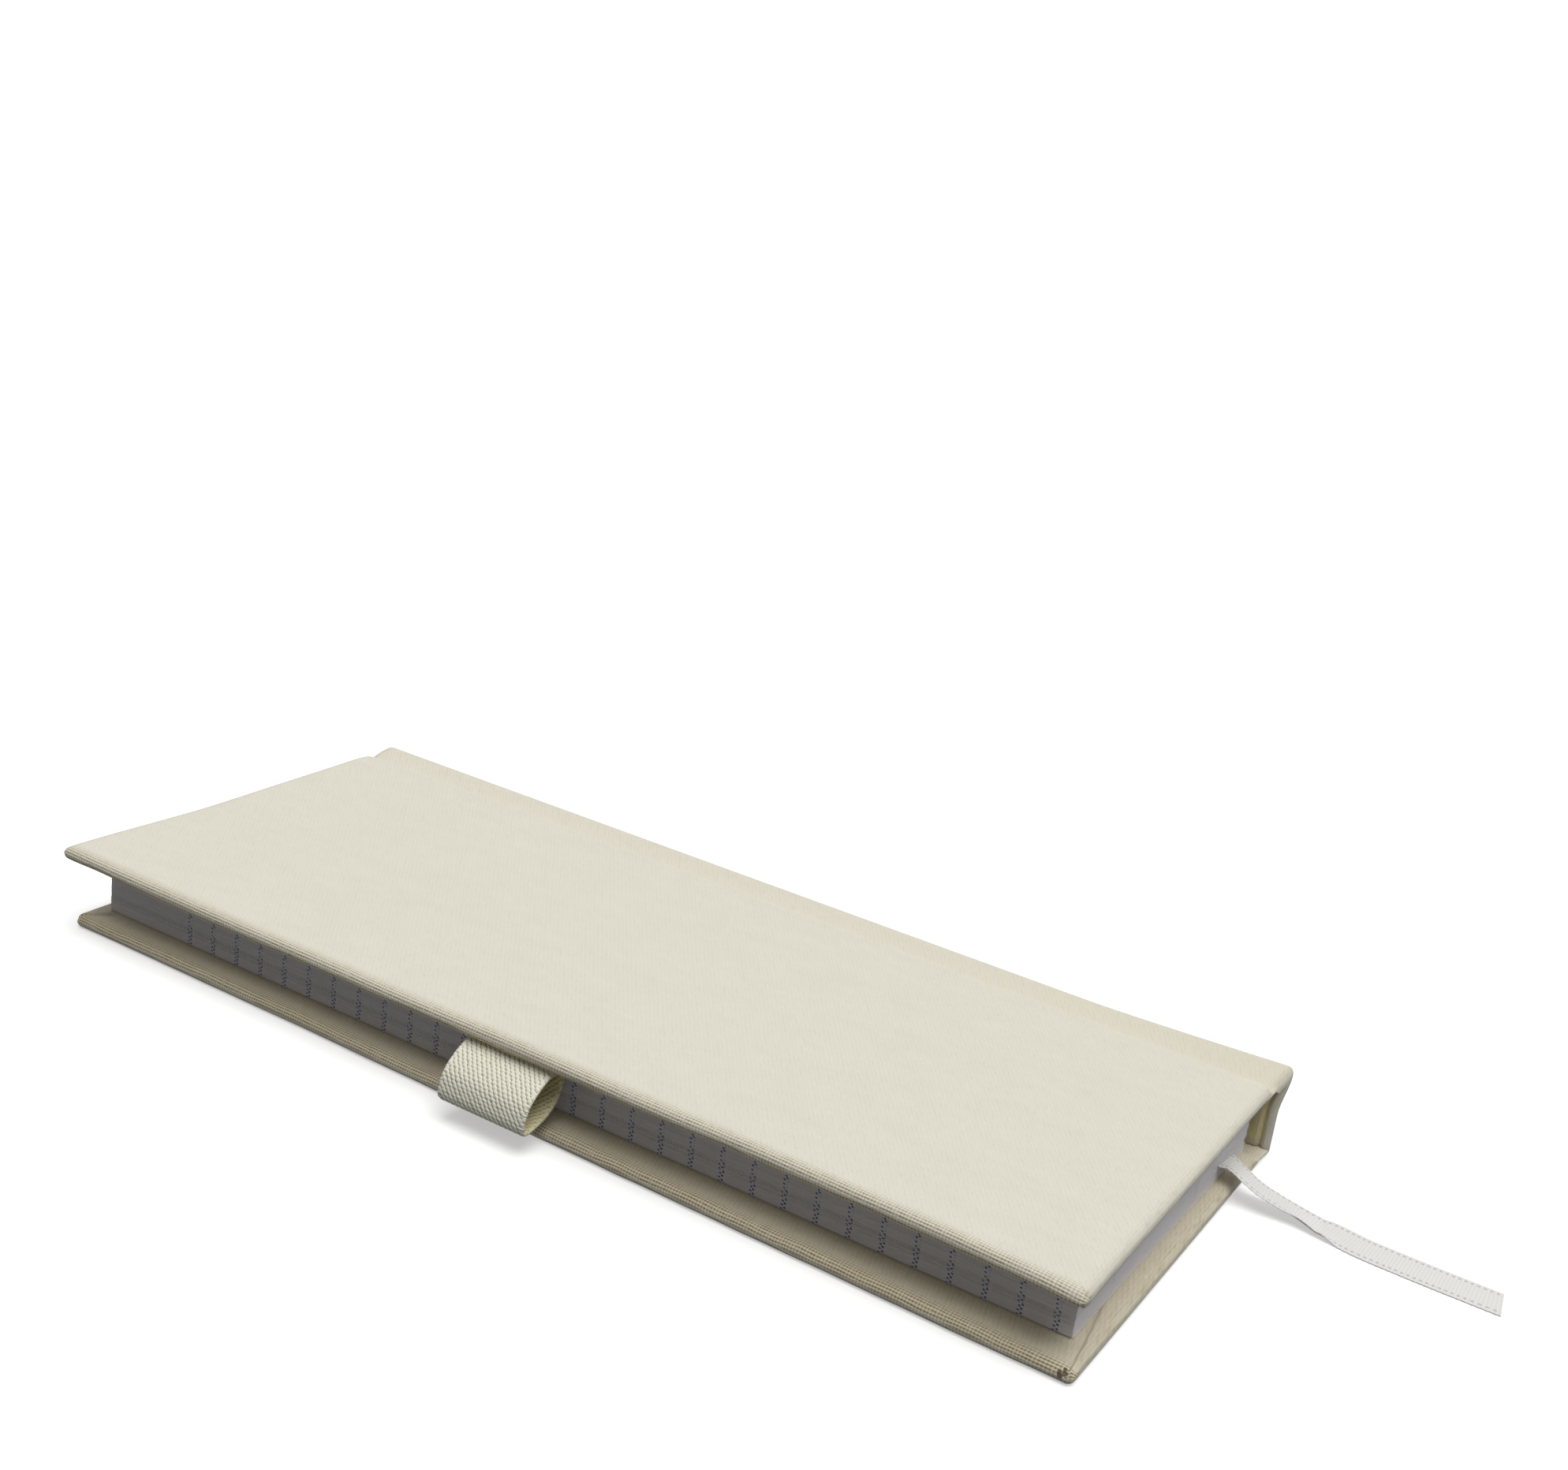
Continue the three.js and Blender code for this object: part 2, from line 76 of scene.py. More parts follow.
# Camera
# A hand-held camera stands off the fore-edge near the tail and looks down over the closed book,
# tilted a little. Its place was solved from the book's corners in the photograph.
CAMERA_PLACE = Vector((-318.3, -197.0, 194.2)) * MM
CAMERA_LOOKS = Vector((0.8262, 0.4602, -0.3251))
CAMERA_ROLL = math.radians(7.71)
CAMERA_LENS = 48.67

camera_data = bpy.data.cameras.new("camera")
camera_data.lens = CAMERA_LENS
camera_data.sensor_width = 36
camera_data.clip_start = 0.01
camera_data.clip_end = 50
camera = bpy.data.objects.new("camera", camera_data)
turn = CAMERA_LOOKS.to_track_quat("-Z", "Y").to_matrix() @ Matrix.Rotation(CAMERA_ROLL, 3, "Z")
camera.matrix_world = Matrix.Translation(CAMERA_PLACE) @ turn.to_4x4()
bpy.context.collection.objects.link(camera)
bpy.context.scene.camera = camera

# Floor and light
# A wide pale table top under a white sweep. One broad soft light hangs overhead, and the room
# is bright above the spine and dim low down at the fore-edge, where the pages lie in shade.
FLOOR_COLOUR = "#E6E6E5"
FLOOR_GLOW = 0.4
RIM_POINTS = 96
SWEEP_COLOUR = "#FFFFFF"
SWEEP_RADIUS = 11
SWEEP_RINGS = 24
SWEEP_SIDES = 48
KEY_FROM = Vector((-0.16, -0.22, 1.0))
KEY_STRENGTH = 2.05
KEY_SOFTNESS = math.radians(47)
ROOM_BRIGHT_FROM = Vector((0.55, -0.02, 0.83)).normalized()
ROOM_DIM = 0.1
ROOM_BRIGHT = 0.58
TABLE_BOUNCE = 0.09


def linear(colour):
    """An sRGB hex colour as linear red, green, blue and alpha."""
    parts = [int(colour[i : i + 2], 16) / 255 for i in (1, 3, 5)]
    return [p / 12.92 if p <= 0.04045 else ((p + 0.055) / 1.055) ** 2.4 for p in parts] + [1]


def node(tree, kind, inputs, output=0, **settings):
    """Adds a shader node and gives back one output. Its inputs, by place or by name, are values or
    other nodes' outputs, and what follows is its own settings."""
    made = tree.nodes.new("ShaderNode" + kind)
    for name, value in settings.items():
        setattr(made, name, value)
    for name, value in inputs.items() if isinstance(inputs, dict) else enumerate(inputs):
        if isinstance(value, bpy.types.NodeSocket):
            tree.links.new(value, made.inputs[name])
        else:
            made.inputs[name].default_value = value
    return made.outputs[output]


def plain_material(name, colour, roughness, sheen=0, glow=0):
    """A material with plain values on its shader, and its tree, ready for more nodes."""
    material = bpy.data.materials.new(name)
    material.use_nodes = True
    shader = material.node_tree.nodes["Principled BSDF"]
    shader.inputs["Base Color"].default_value = linear(colour)
    shader.inputs["Roughness"].default_value = roughness
    shader.inputs["Sheen Weight"].default_value = sheen
    if glow:
        shader.inputs["Emission Color"].default_value = linear(SWEEP_COLOUR)
        shader.inputs["Emission Strength"].default_value = glow
    return material, material.node_tree


def mesh_object(name, vertices, faces, smooth=True):
    mesh = bpy.data.meshes.new(name)
    mesh.from_pydata(vertices, [], faces)
    mesh.update()
    for polygon in mesh.polygons:
        polygon.use_smooth = smooth
    made = bpy.data.objects.new(name, mesh)
    bpy.context.collection.objects.link(made)
    return made


def tube_faces(rings, ring, first=0):
    """The faces between rings of points, of which each holds the same number."""
    faces = []
    for i in range(rings - 1):
        for k in range(ring):
            a, b = first + i * ring + k, first + i * ring + (k + 1) % ring
            faces.append((a, b, b + ring, a + ring))
    return faces


floor_material = plain_material("pale_table", FLOOR_COLOUR, 0.9, glow=FLOOR_GLOW)[0]
rim_turns = [math.tau * i / RIM_POINTS for i in range(RIM_POINTS)]
floor_rim = [(SWEEP_RADIUS * math.cos(turn), SWEEP_RADIUS * math.sin(turn), 0) for turn in rim_turns]
floor = mesh_object("floor", floor_rim, [tuple(range(RIM_POINTS))])
floor.data.materials.append(floor_material)
floor.visible_diffuse = False
floor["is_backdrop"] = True

sweep_material = plain_material("white_sweep", "#000000", 1.0, glow=1)[0]
sweep_points = []
for i in range(SWEEP_RINGS + 1):
    up = math.pi / 2 * i / SWEEP_RINGS
    for k in range(SWEEP_SIDES):
        turn = math.tau * k / SWEEP_SIDES
        way = Vector((math.cos(up) * math.cos(turn), math.cos(up) * math.sin(turn), math.sin(up)))
        sweep_points.append(way * SWEEP_RADIUS)
sweep = mesh_object("sweep", sweep_points, tube_faces(SWEEP_RINGS + 1, SWEEP_SIDES))
sweep.data.materials.append(sweep_material)
sweep.visible_diffuse = False
sweep.visible_glossy = False
sweep.visible_shadow = False
sweep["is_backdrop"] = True

key_data = bpy.data.lights.new("key", "SUN")
key_data.energy = KEY_STRENGTH
key_data.angle = KEY_SOFTNESS
key = bpy.data.objects.new("key", key_data)
key.rotation_mode = "QUATERNION"
key.rotation_quaternion = (-KEY_FROM).to_track_quat("-Z", "Y")
bpy.context.collection.objects.link(key)

room = bpy.data.worlds.new("room")
room.use_nodes = True
room_tree = room.node_tree
way = node(room_tree, "TexCoord", {})
towards = node(room_tree, "VectorMath", (way, ROOM_BRIGHT_FROM), "Value", operation="DOT_PRODUCT")
overhead = node(
    room_tree, "MapRange",
    {"Value": towards, "From Min": -0.4, "From Max": 1.0, "To Min": ROOM_DIM, "To Max": ROOM_BRIGHT},
    interpolation_type="SMOOTHSTEP",
)
height = node(room_tree, "SeparateXYZ", (way,), "Z")
bounce = node(
    room_tree, "MapRange", {"Value": height, "From Min": 0.05, "From Max": -0.3, "To Max": TABLE_BOUNCE}
)
strength = node(room_tree, "Math", (overhead, bounce), operation="ADD")
background = room_tree.nodes["Background"]
background.inputs["Color"].default_value = linear("#F7F8FA")
room_tree.links.new(strength, background.inputs["Strength"])
bpy.context.scene.world = room
bpy.context.scene.view_settings.view_transform = "Standard"

# Marker ribbon
# Quarter-inch white satin ribbon with a woven ground and fine looped edges. It is glued to the
# back of the sections, comes over the head, lies between the pages and hangs out at the tail.
RIBBON_WIDTH = 6.35
RIBBON_THICKNESS = 0.26
RIBBON_EDGE_BEAD = 0.42
RIBBON_FLAT = 0.88
RIBBON_EDGE_WAVE = 0.1
RIBBON_LOOP_PITCH = 1.1
RIBBON_RIB_PITCH = 0.62
HOLE_ROW_INSET = 0.85
HOLE_ROW_WIDTH = 0.4
RIBBON_ROUTE = [
    (0, -0.3, 0), (-0.15, -1.8, -0.2), (-0.5, -3.4, -0.6), (-0.85, -4.9, -1.15), (-1.05, -6.4, -1.75),
    (-1.05, -8.1, -2.4), (-0.85, -10, -3), (-0.55, -12.1, -3.65), (-0.35, -14.6, -4.4), (-0.45, -17.4, -5.1),
    (-0.8, -20.6, -5.6), (-1.35, -23.9, -5.8), (-1.95, -27.2, -5.8), (-2.2, -30.6, -5.8),
    (-2.3, -34, -5.8), (-2.4, -37.6, -5.8), (-2.45, -41.4, -5.8), (-2.45, -45.2, -5.8),
    (-2.45, -48.8, -5.8), (-2.45, -52.1, -5.8),
]
RIBBON_CENTRE_LOWEST = 0.26
TAIL_LEAN_AT_EXIT = math.radians(-9)
TAIL_LEAN_ON_TABLE = math.radians(7)
TAIL_TWISTS_FROM = 0.36
TAIL_EDGE_CURL = 2.6
TAIL_CURLS_TO = 0.53
TAIL_CURL_STARTS = 0.45
RIBBON_STEPS_BETWEEN = 8
RIBBON_ACROSS = 10
END_CUT_SLANT = 1.1
END_CUT_REACH = 5


def mapped(tree, layer):
    """The two numbers of a UV layer, which holds millimetres on the flat piece."""
    uv = node(tree, "UVMap", {}, uv_map=layer)
    parts = node(tree, "SeparateXYZ", (uv,)).node
    return parts.outputs["X"], parts.outputs["Y"]


def wave(tree, along, pitch):
    """A wave of -1 to 1 along a length."""
    turned = node(tree, "Math", (along, math.tau / pitch), operation="MULTIPLY")
    return node(tree, "Math", (turned,), operation="SINE")


def painted(tree, ground, *coats):
    """A ground colour under coats of others. A coat is an amount from 0 to 1, how much of the
    ground it hides at 1, and its hex colour."""
    ground = linear(ground) if isinstance(ground, str) else ground
    for amount, cover, colour in coats:
        if cover < 1:
            amount = node(tree, "Math", (amount, cover), operation="MULTIPLY")
        ground = node(tree, "Mix", {0: amount, 6: ground, 7: linear(colour)}, 2, data_type="RGBA")
    return ground


def dress(tree, colour, relief=None, strength=0, depth=0):
    """Links a colour to the material's shader, and a relief with its depth in millimetres."""
    shader = tree.nodes["Principled BSDF"]
    tree.links.new(colour, shader.inputs["Base Color"])
    if relief is not None:
        bump = node(tree, "Bump", {"Height": relief, "Strength": strength, "Distance": depth * MM})
        tree.links.new(bump, shader.inputs["Normal"])


def ribbon_satin():
    """Polyester satin, woven: a soft sheen with fine ribs across, and holes beside the looped edge."""
    material, tree = plain_material("ribbon_satin", "#E2E0DC", 0.4, sheen=0.12)
    along, across = mapped(tree, "ribbon_mm")
    ribs = wave(tree, along, RIBBON_RIB_PITCH)
    aside = node(tree, "Math", (across,), operation="ABSOLUTE")
    hole_row = RIBBON_WIDTH / 2 - HOLE_ROW_INSET
    on_row = node(tree, "Math", (aside, hole_row, HOLE_ROW_WIDTH / 2), operation="COMPARE")
    dots = node(tree, "Math", (wave(tree, along, RIBBON_LOOP_PITCH), 0.1), operation="GREATER_THAN")
    holes = node(tree, "Math", (on_row, dots), operation="MULTIPLY")
    shaded = node(tree, "Math", (ribs, 0.5, 0.5), operation="MULTIPLY_ADD")
    colour = painted(tree, "#DFDDD9", (shaded, 1, "#E6E4E1"), (holes, 0.6, "#9B9A94"))
    dress(tree, colour, ribs, 0.25, 0.06)
    return material


satin = ribbon_satin()


def set_uv(piece, layer, values):
    """Writes a UV layer from one pair of numbers for each vertex."""
    uv = piece.data.uv_layers.new(name=layer)
    for loop in piece.data.loops:
        uv.data[loop.index].uv = values[loop.vertex_index]


def spline(points, steps):
    """A smooth line through points, as a list of vectors."""
    line = []
    padded = [points[0] * 2 - points[1], *points, points[-1] * 2 - points[-2]]
    for i in range(1, len(padded) - 2):
        a, b, c, d = padded[i - 1 : i + 3]
        for k in range(steps):
            t = k / steps
            bend = (2 * a - 5 * b + 4 * c - d) * t * t + (3 * b - a - 3 * c + d) * t ** 3
            line.append(0.5 * (2 * b + (c - a) * t + bend))
    line.append(points[-1])
    return line


def heading(line, i):
    """The way that a line runs at one of its points."""
    return (line[min(i + 1, len(line) - 1)] - line[max(i - 1, 0)]).normalized()


def band_faces(rings, ring, first=0):
    """The faces of a flat tube, closed at both ends."""
    faces = tube_faces(rings, ring, first)
    last = first + (rings - 1) * ring
    for k in range(ring // 2 - 1):
        across = ring - 1 - k
        faces.append((first + k + 1, first + k, first + across, first + across - 1))
        faces.append((last + k, last + k + 1, last + across - 1, last + across))
    return faces


def ribbon_band(name, line, sides, lift=None, slant=0):
    """A thin band along a line, with a beaded edge. sides gives the way across at each point, and
    lift how far a point stands off the middle plane, in mm, at a share of the length and width.
    slant says how far one side of the cut end reaches past the other."""
    vertices, values = [], []
    length = 0
    for i, point in enumerate(line):
        ahead = heading(line, i)
        length += (point - line[max(0, i - 1)]).length
        side = (sides[i] - ahead * sides[i].dot(ahead)).normalized()
        up = side.cross(ahead).normalized()
        bead = 0.5 + 0.5 * math.sin(math.tau * length / MM / RIBBON_LOOP_PITCH)
        near_end = max(0, 1 - (point - line[-1]).length / MM / END_CUT_REACH)
        for face in (1, -1):
            for k in range(RIBBON_ACROSS + 1):
                share = (k / RIBBON_ACROSS * 2 - 1) * face
                past = max(0.0, (abs(share) - RIBBON_FLAT) / (1 - RIBBON_FLAT))
                thick = RIBBON_THICKNESS + (RIBBON_EDGE_BEAD - RIBBON_THICKNESS) * bead * min(1, 3 * past)
                thick *= math.sqrt(max(0.12, 1 - past ** 2))
                across = share * (RIBBON_WIDTH / 2 - RIBBON_EDGE_WAVE * past * (1 - bead))
                rise = lift(i / (len(line) - 1), share) if lift else 0
                cut = slant * (1 - share) / 2 * near_end
                vertices.append(point + (side * across + up * (face * thick / 2 + rise) + ahead * cut) * MM)
                values.append((length / MM, share * RIBBON_WIDTH / 2))
    ring = 2 * (RIBBON_ACROSS + 1)
    band = mesh_object(name, vertices, band_faces(len(line), ring))
    band.data.set_sharp_from_angle(angle=math.radians(50))
    set_uv(band, "ribbon_mm", values)
    band.data.materials.append(satin)
    return band


def smooth(value):
    """A soft step from 0 to 1."""
    value = max(0.0, min(1.0, value))
    return value * value * (3 - 2 * value)


marker_low, marker_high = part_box("ribbon_marker")
slot_middle = (marker_low.z + marker_high.z) / 2
block_low, block_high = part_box("section_1")
ribbon_exit = Vector((marker_low.x + RIBBON_WIDTH / 2 * MM, block_low.y, slot_middle))
route = [ribbon_exit + Vector(p) * MM for p in RIBBON_ROUTE]
for point in route:
    point.z = max(point.z, RIBBON_CENTRE_LOWEST * MM)
tail_line = spline(route, RIBBON_STEPS_BETWEEN)
tail_sides = []
for i, point in enumerate(tail_line):
    share = i / (len(tail_line) - 1)
    settled = smooth((share - TAIL_TWISTS_FROM) / 0.2)
    lean = TAIL_LEAN_AT_EXIT * smooth(share / 0.08) * (1 - settled) + TAIL_LEAN_ON_TABLE * settled
    tail_sides.append(Vector((math.cos(lean), 0, math.sin(lean))))
    on_table = RIBBON_WIDTH / 2 * abs(math.sin(lean)) * math.cos(lean) + RIBBON_EDGE_BEAD / 2
    point.z = max(point.z, on_table * MM)


def tail_curl(share, across):
    """The near edge rolls under for a stretch, where the ribbon twists on its way down."""
    here = smooth((share - TAIL_TWISTS_FROM) / 0.12) * (1 - smooth((share - TAIL_CURLS_TO) / 0.07))
    return -TAIL_EDGE_CURL * here * max(0.0, -across - TAIL_CURL_STARTS) ** 1.5


tail = ribbon_band("ribbon_tail_satin", tail_line, tail_sides, tail_curl, END_CUT_SLANT)
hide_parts("ribbon_tail")
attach(tail, "front_cover")

# Held part of the ribbon
# Inside the book the ribbon lies in the fold that opens, goes over
# the head in a soft roll, turns on edge and is glued down behind the sections.
HEAD_ROLL = [
    (0, 0.35, 0), (0.6, 1.0, 0.25), (1.5, 1.15, 0.9), (2.6, 0.8, 1.9), (3.35, -0.7, 2.6), (3.7, -2.6, 3.0),
]
ANCHOR_REACH = 19
ANCHOR_STEPS = 8
MARKER_STEPS = 60
BEND_REACH = 8.5 * MM
folds = {joint["name"]: Vector(joint["pos_m"]) for joint in frame["joints"]}


def bend_at_fold(piece):
    """A piece of one body near the fold, where it meets another: its place is fixed into its mesh, and it is
    not bent.
    """
    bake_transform(piece)


marker_head = Vector((marker_high.x - RIBBON_WIDTH / 2 * MM, block_high.y, slot_middle))
roll = spline([marker_head + Vector(p) * MM for p in HEAD_ROLL], RIBBON_STEPS_BETWEEN)
anchor_end = roll[-1] - Vector((0, ANCHOR_REACH, 0)) * MM
held_line = [ribbon_exit.lerp(marker_head, i / MARKER_STEPS) for i in range(MARKER_STEPS)]
held_sides = [Vector((1, 0, 0))] * MARKER_STEPS
for i, point in enumerate(roll):
    turned = smooth(i / (len(roll) - 1)) * math.pi / 2
    held_line.append(point)
    held_sides.append(Vector((math.cos(turned), 0, math.sin(turned))))
held_line += [roll[-1].lerp(anchor_end, i / ANCHOR_STEPS) for i in range(1, ANCHOR_STEPS + 1)]
held_sides += [Vector((0, 0, 1))] * ANCHOR_STEPS
held = ribbon_band("ribbon_held_satin", held_line, held_sides)
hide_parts("ribbon_marker", "ribbon_anchor")
bend_at_fold(held)

# Boards
# Three boards cut from grey pulp board stiffen the covers and the spine. Their edges are eased
# with fine paper, so that they don't cut the cloth. All of them are hidden by the cloth.
BOARD_EASE = 0.45
BOARD_CLEARANCE = Vector((0.45, 0.5, 0.1)) * MM


def fibrous(name, colour, dark, grain):
    """Pressed fibre with a mottled, matt face. grain is the size of a fleck in millimetres."""
    material, tree = plain_material(name, colour, 0.92)
    specks = node(tree, "TexNoise", {"Scale": 1 / (grain * MM), "Detail": 3})
    dress(tree, painted(tree, dark, (specks, 1, colour)), specks, 0.3, 0.1)
    return material


def eased_slab(name, low, high, ease):
    """A slab with all its edges rounded."""
    mesh = bmesh.new()
    bmesh.ops.create_cube(mesh, size=1)
    size, middle = high - low, (high + low) / 2
    for vertex in mesh.verts:
        vertex.co = Vector([vertex.co[i] * size[i] + middle[i] for i in range(3)])
    bmesh.ops.bevel(mesh, geom=mesh.edges[:], offset=ease, segments=3, affect="EDGES", profile=0.5)
    made = mesh_object(name, [], [])
    mesh.to_mesh(made.data)
    mesh.free()
    return made


greyboard = fibrous("greyboard", "#A79F92", "#8A8276", 0.8)
boards = {}
for name, body in (("front_board", "front_cover"), ("spine_board", "spine"), ("back_board", "back_cover")):
    low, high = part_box(name)
    board = eased_slab(f"{name}_eased", low + BOARD_CLEARANCE, high - BOARD_CLEARANCE, BOARD_EASE * MM)
    board.data.materials.append(greyboard)
    boards[name] = board
    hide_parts(name)
    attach(board, body)

# Sewing and linings
# Linen thread links the sections down their backs and runs along the fold that opens. An
# open-weave mull and brown kraft paper are glued over the backs.
THREAD = 0.3
THREAD_TWIST = 0.9
THREAD_SIDES = 8
MULL_PITCH = 1.0
LINING_STEPS = 48


def linen_thread():
    """Bleached linen in three plies: pale, faintly hairy, with slanting turns."""
    material, tree = plain_material("linen_thread", "#F1EEE4", 0.8)
    along, around = mapped(tree, "thread_mm")
    slanted = node(tree, "Math", (around, THREAD_TWIST, along), operation="MULTIPLY_ADD")
    plies = wave(tree, slanted, THREAD_TWIST)
    dress(tree, painted(tree, "#CFC9B8", (plies, 1, "#F4F1E8")))
    return material


def open_weave():
    """Starched cotton gauze: pale threads a millimetre apart with the glue and paper between them."""
    material, tree = plain_material("starched_mull", "#E6E1D2", 0.9)
    place = node(tree, "SeparateXYZ", (node(tree, "TexCoord", {}, "Object"),)).node
    threads = [wave(tree, place.outputs[axis], MULL_PITCH * MM) for axis in "YZ"]
    highest = node(tree, "Math", threads, operation="MAXIMUM")
    thread_here = node(tree, "Math", (highest, 0.35), operation="GREATER_THAN")
    dress(tree, painted(tree, "#BDB39B", (thread_here, 1, "#E9E4D6")), thread_here, 0.4, 0.1)
    return material


def thread_tube(name, line):
    """A round thread along a line, closed at its ends."""
    vertices, values = [], []
    for i, point in enumerate(line):
        ahead = heading(line, i)
        first = ahead.orthogonal().normalized()
        second = ahead.cross(first)
        for k in range(THREAD_SIDES):
            angle = math.tau * k / THREAD_SIDES
            ply = 1 + 0.12 * math.cos(3 * (angle + math.tau * i / 10))
            offset = (first * math.cos(angle) + second * math.sin(angle)) * THREAD / 2 * ply
            vertices.append(point + offset * MM)
            values.append(((point - line[0]).length / MM, k / THREAD_SIDES))
    faces = tube_faces(len(line), THREAD_SIDES)
    faces.append(tuple(range(THREAD_SIDES - 1, -1, -1)))
    faces.append(tuple(range(len(vertices) - THREAD_SIDES, len(vertices))))
    made = mesh_object(name, vertices, faces)
    set_uv(made, "thread_mm", values)
    made.data.materials.append(linen)
    return made


def lining(node_name, material):
    """A thin sheet over the backs of the sections, divided along its height."""
    low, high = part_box(node_name)
    corners = ((low.x, low.y), (high.x, low.y), (high.x, high.y), (low.x, high.y))
    heights = [low.z + (high.z - low.z) * i / LINING_STEPS for i in range(LINING_STEPS + 1)]
    vertices = [Vector((x, y, z)) for z in heights for x, y in corners]
    made = mesh_object(f"{node_name}_sheet", vertices, band_faces(LINING_STEPS + 1, 4), smooth=False)
    made.data.materials.append(material)
    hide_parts(node_name)
    return made


def bend_with_backs(piece):
    """The linings and link stitches, where the backs of the sections part: their places are fixed into their
    meshes, and they are not bent.
    """
    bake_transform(piece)


linen = linen_thread()
kraft = fibrous("kraft_paper", "#B58E60", "#9C774C", 1.2)
for name, axis, steps in (
    ("fold_stitch_head", 1, 80), ("fold_stitch_tail", 1, 80), ("link_stitch_1", 2, 40),
    ("link_stitch_2", 2, 40), ("link_stitch_3", 2, 40), ("link_stitch_4", 2, 40),
):
    low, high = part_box(name)
    start = (low + high) / 2
    end = start.copy()
    start[axis], end[axis] = low[axis], high[axis]
    stitch = thread_tube(f"{name}_linen", [start.lerp(end, i / steps) for i in range(steps + 1)])
    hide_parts(name)
    if axis == 1:
        bend_at_fold(stitch)
    else:
        bend_with_backs(stitch)
bend_with_backs(lining("mull_lining", open_weave()))
bend_with_backs(lining("kraft_lining", kraft))

# Leaves
# Cool white ledger paper, folded in sections. Blue rules lie a quarter inch apart across the
# leaf, dark red lines run down it, and the ends of the rules dot the fore-edge.
RULE_PITCH = 6.35
RULE_WIDTH = 0.34
RULES = 31
FIRST_RULE = 3.6 * RULE_PITCH
UNRULED = -500
RED_LINES = (11.8, 48.7, 49.75, 63.5)
RED_WIDTH = 0.26
VERSO_SHIFT = 3.7
DOT_PITCH = 0.4
DOT_HEIGHT = 0.33
DOT_WIDTH = 0.46
DOT_SLANT = 0.5
DOTS_MISSING = 0.1
LANE_GAP = 0.6
LANE_DRIFT = 1.8
LANE_JITTER = 0.25
LEAF_LINES = 0.06
SHEET = 0.23
SHEET_GAP = 0.02
FORE_UNEVEN = 0.10
END_UNEVEN = 0.08
X_STEPS = 40
X_CROWDING = 1.8
Y_STEPS = 4
RIBBON_SLOT = 0.5
RIBBON_ROOM = 0.3
LEAF_DROP = 3
LEAF_BEND_REACH = 14 * MM
ENDPAPER_INSET = 0.5
ENDPAPER_EASE = 0.03
section_depth = (block_high.z - block_low.z) / MM
page_half = block_high.y / MM
fold_of_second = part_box("turning_leaves_1")[0].z / MM


def total(tree, *terms):
    """The sum of several values, each times its weight."""
    made = 0
    for value, weight in terms:
        made = node(tree, "Math", (value, weight, made), operation="MULTIPLY_ADD")
    return made


def rule_rows(tree, down):
    """How far a place lies from the rule in its row, in rows, and whether that row is ruled."""
    rows = total(tree, (down, 1 / RULE_PITCH), (1, 0.5 - FIRST_RULE / RULE_PITCH))
    off = node(tree, "Math", (node(tree, "Math", (rows,), operation="FRACT"), 0.5), operation="SUBTRACT")
    return off, node(tree, "Math", (rows, RULES / 2, RULES / 2), operation="COMPARE")


def paper_face():
    """Machine-made ledger paper, smooth and matt, printed in two colours."""
    material, tree = plain_material("ruled_ledger_paper", "#E4E3E8", 0.75)
    along, down = mapped(tree, "page_mm")
    off, ruled = rule_rows(tree, down)
    on_rule = node(tree, "Math", (off, 0, RULE_WIDTH / 2 / RULE_PITCH), operation="COMPARE")
    blue = node(tree, "Math", (on_rule, ruled), operation="MULTIPLY")
    red = 0
    for place in RED_LINES:
        on_line = node(tree, "Math", (along, place, RED_WIDTH / 2), operation="COMPARE")
        red = node(tree, "Math", (on_line, red), operation="MAXIMUM")
    tooth = node(tree, "TexNoise", {"Scale": 2500, "Detail": 2})
    coats = ((tooth, 1, "#EAE9EC"), (blue, 0.9, "#3F70A5"), (red, 0.85, "#9C4052"))
    dress(tree, painted(tree, "#DFDEE1", *coats))
    return material


def paper_edge():
    """Guillotined paper: fine lines between the leaves, with the cut ends of the blue rules in two
    staggered lanes, because the two sides of a leaf are ruled apart."""
    material, tree = plain_material("cut_paper_edge", "#DEDDE4", 0.85)
    height, down = mapped(tree, "page_mm")
    level = node(tree, "Math", (height, DOT_PITCH), operation="DIVIDE")
    sheet = node(tree, "Math", (level,), operation="FLOOR")
    lane = node(tree, "Math", (sheet, 1), operation="PINGPONG")
    drift = node(tree, "TexNoise", {"W": sheet, "Scale": 0.31}, noise_dimensions="1D")
    chance = node(tree, "TexWhiteNoise", {"W": sheet}, "Value", noise_dimensions="1D")
    moved = total(tree, (down, 1), (lane, LANE_GAP), (drift, LANE_DRIFT), (chance, LANE_JITTER))
    off, ruled = rule_rows(tree, total(tree, (moved, 1), (1, -LANE_DRIFT / 2)))
    over = node(tree, "Math", (node(tree, "Math", (level,), operation="FRACT"), 0.5), operation="SUBTRACT")
    aside = total(tree, (off, 2 * RULE_PITCH / DOT_WIDTH), (over, 2 * DOT_PITCH * DOT_SLANT / DOT_WIDTH))
    place = node(tree, "CombineXYZ", (aside, total(tree, (over, 2 * DOT_PITCH / DOT_HEIGHT))))
    far = node(tree, "VectorMath", (place,), "Value", operation="LENGTH")
    dot = node(tree, "Math", (far, 1), operation="LESS_THAN")
    shown = node(tree, "Math", (chance, DOTS_MISSING), operation="GREATER_THAN")
    mark = total(tree, (total(tree, (dot, ruled)), shown))
    lines = node(tree, "TexNoise", {"W": height, "Scale": 1 / LEAF_LINES}, noise_dimensions="1D")
    dress(tree, painted(tree, "#D2CFD3", (lines, 1, "#E6E3E6"), (mark, 0.95, "#2C4A96")))
    return material


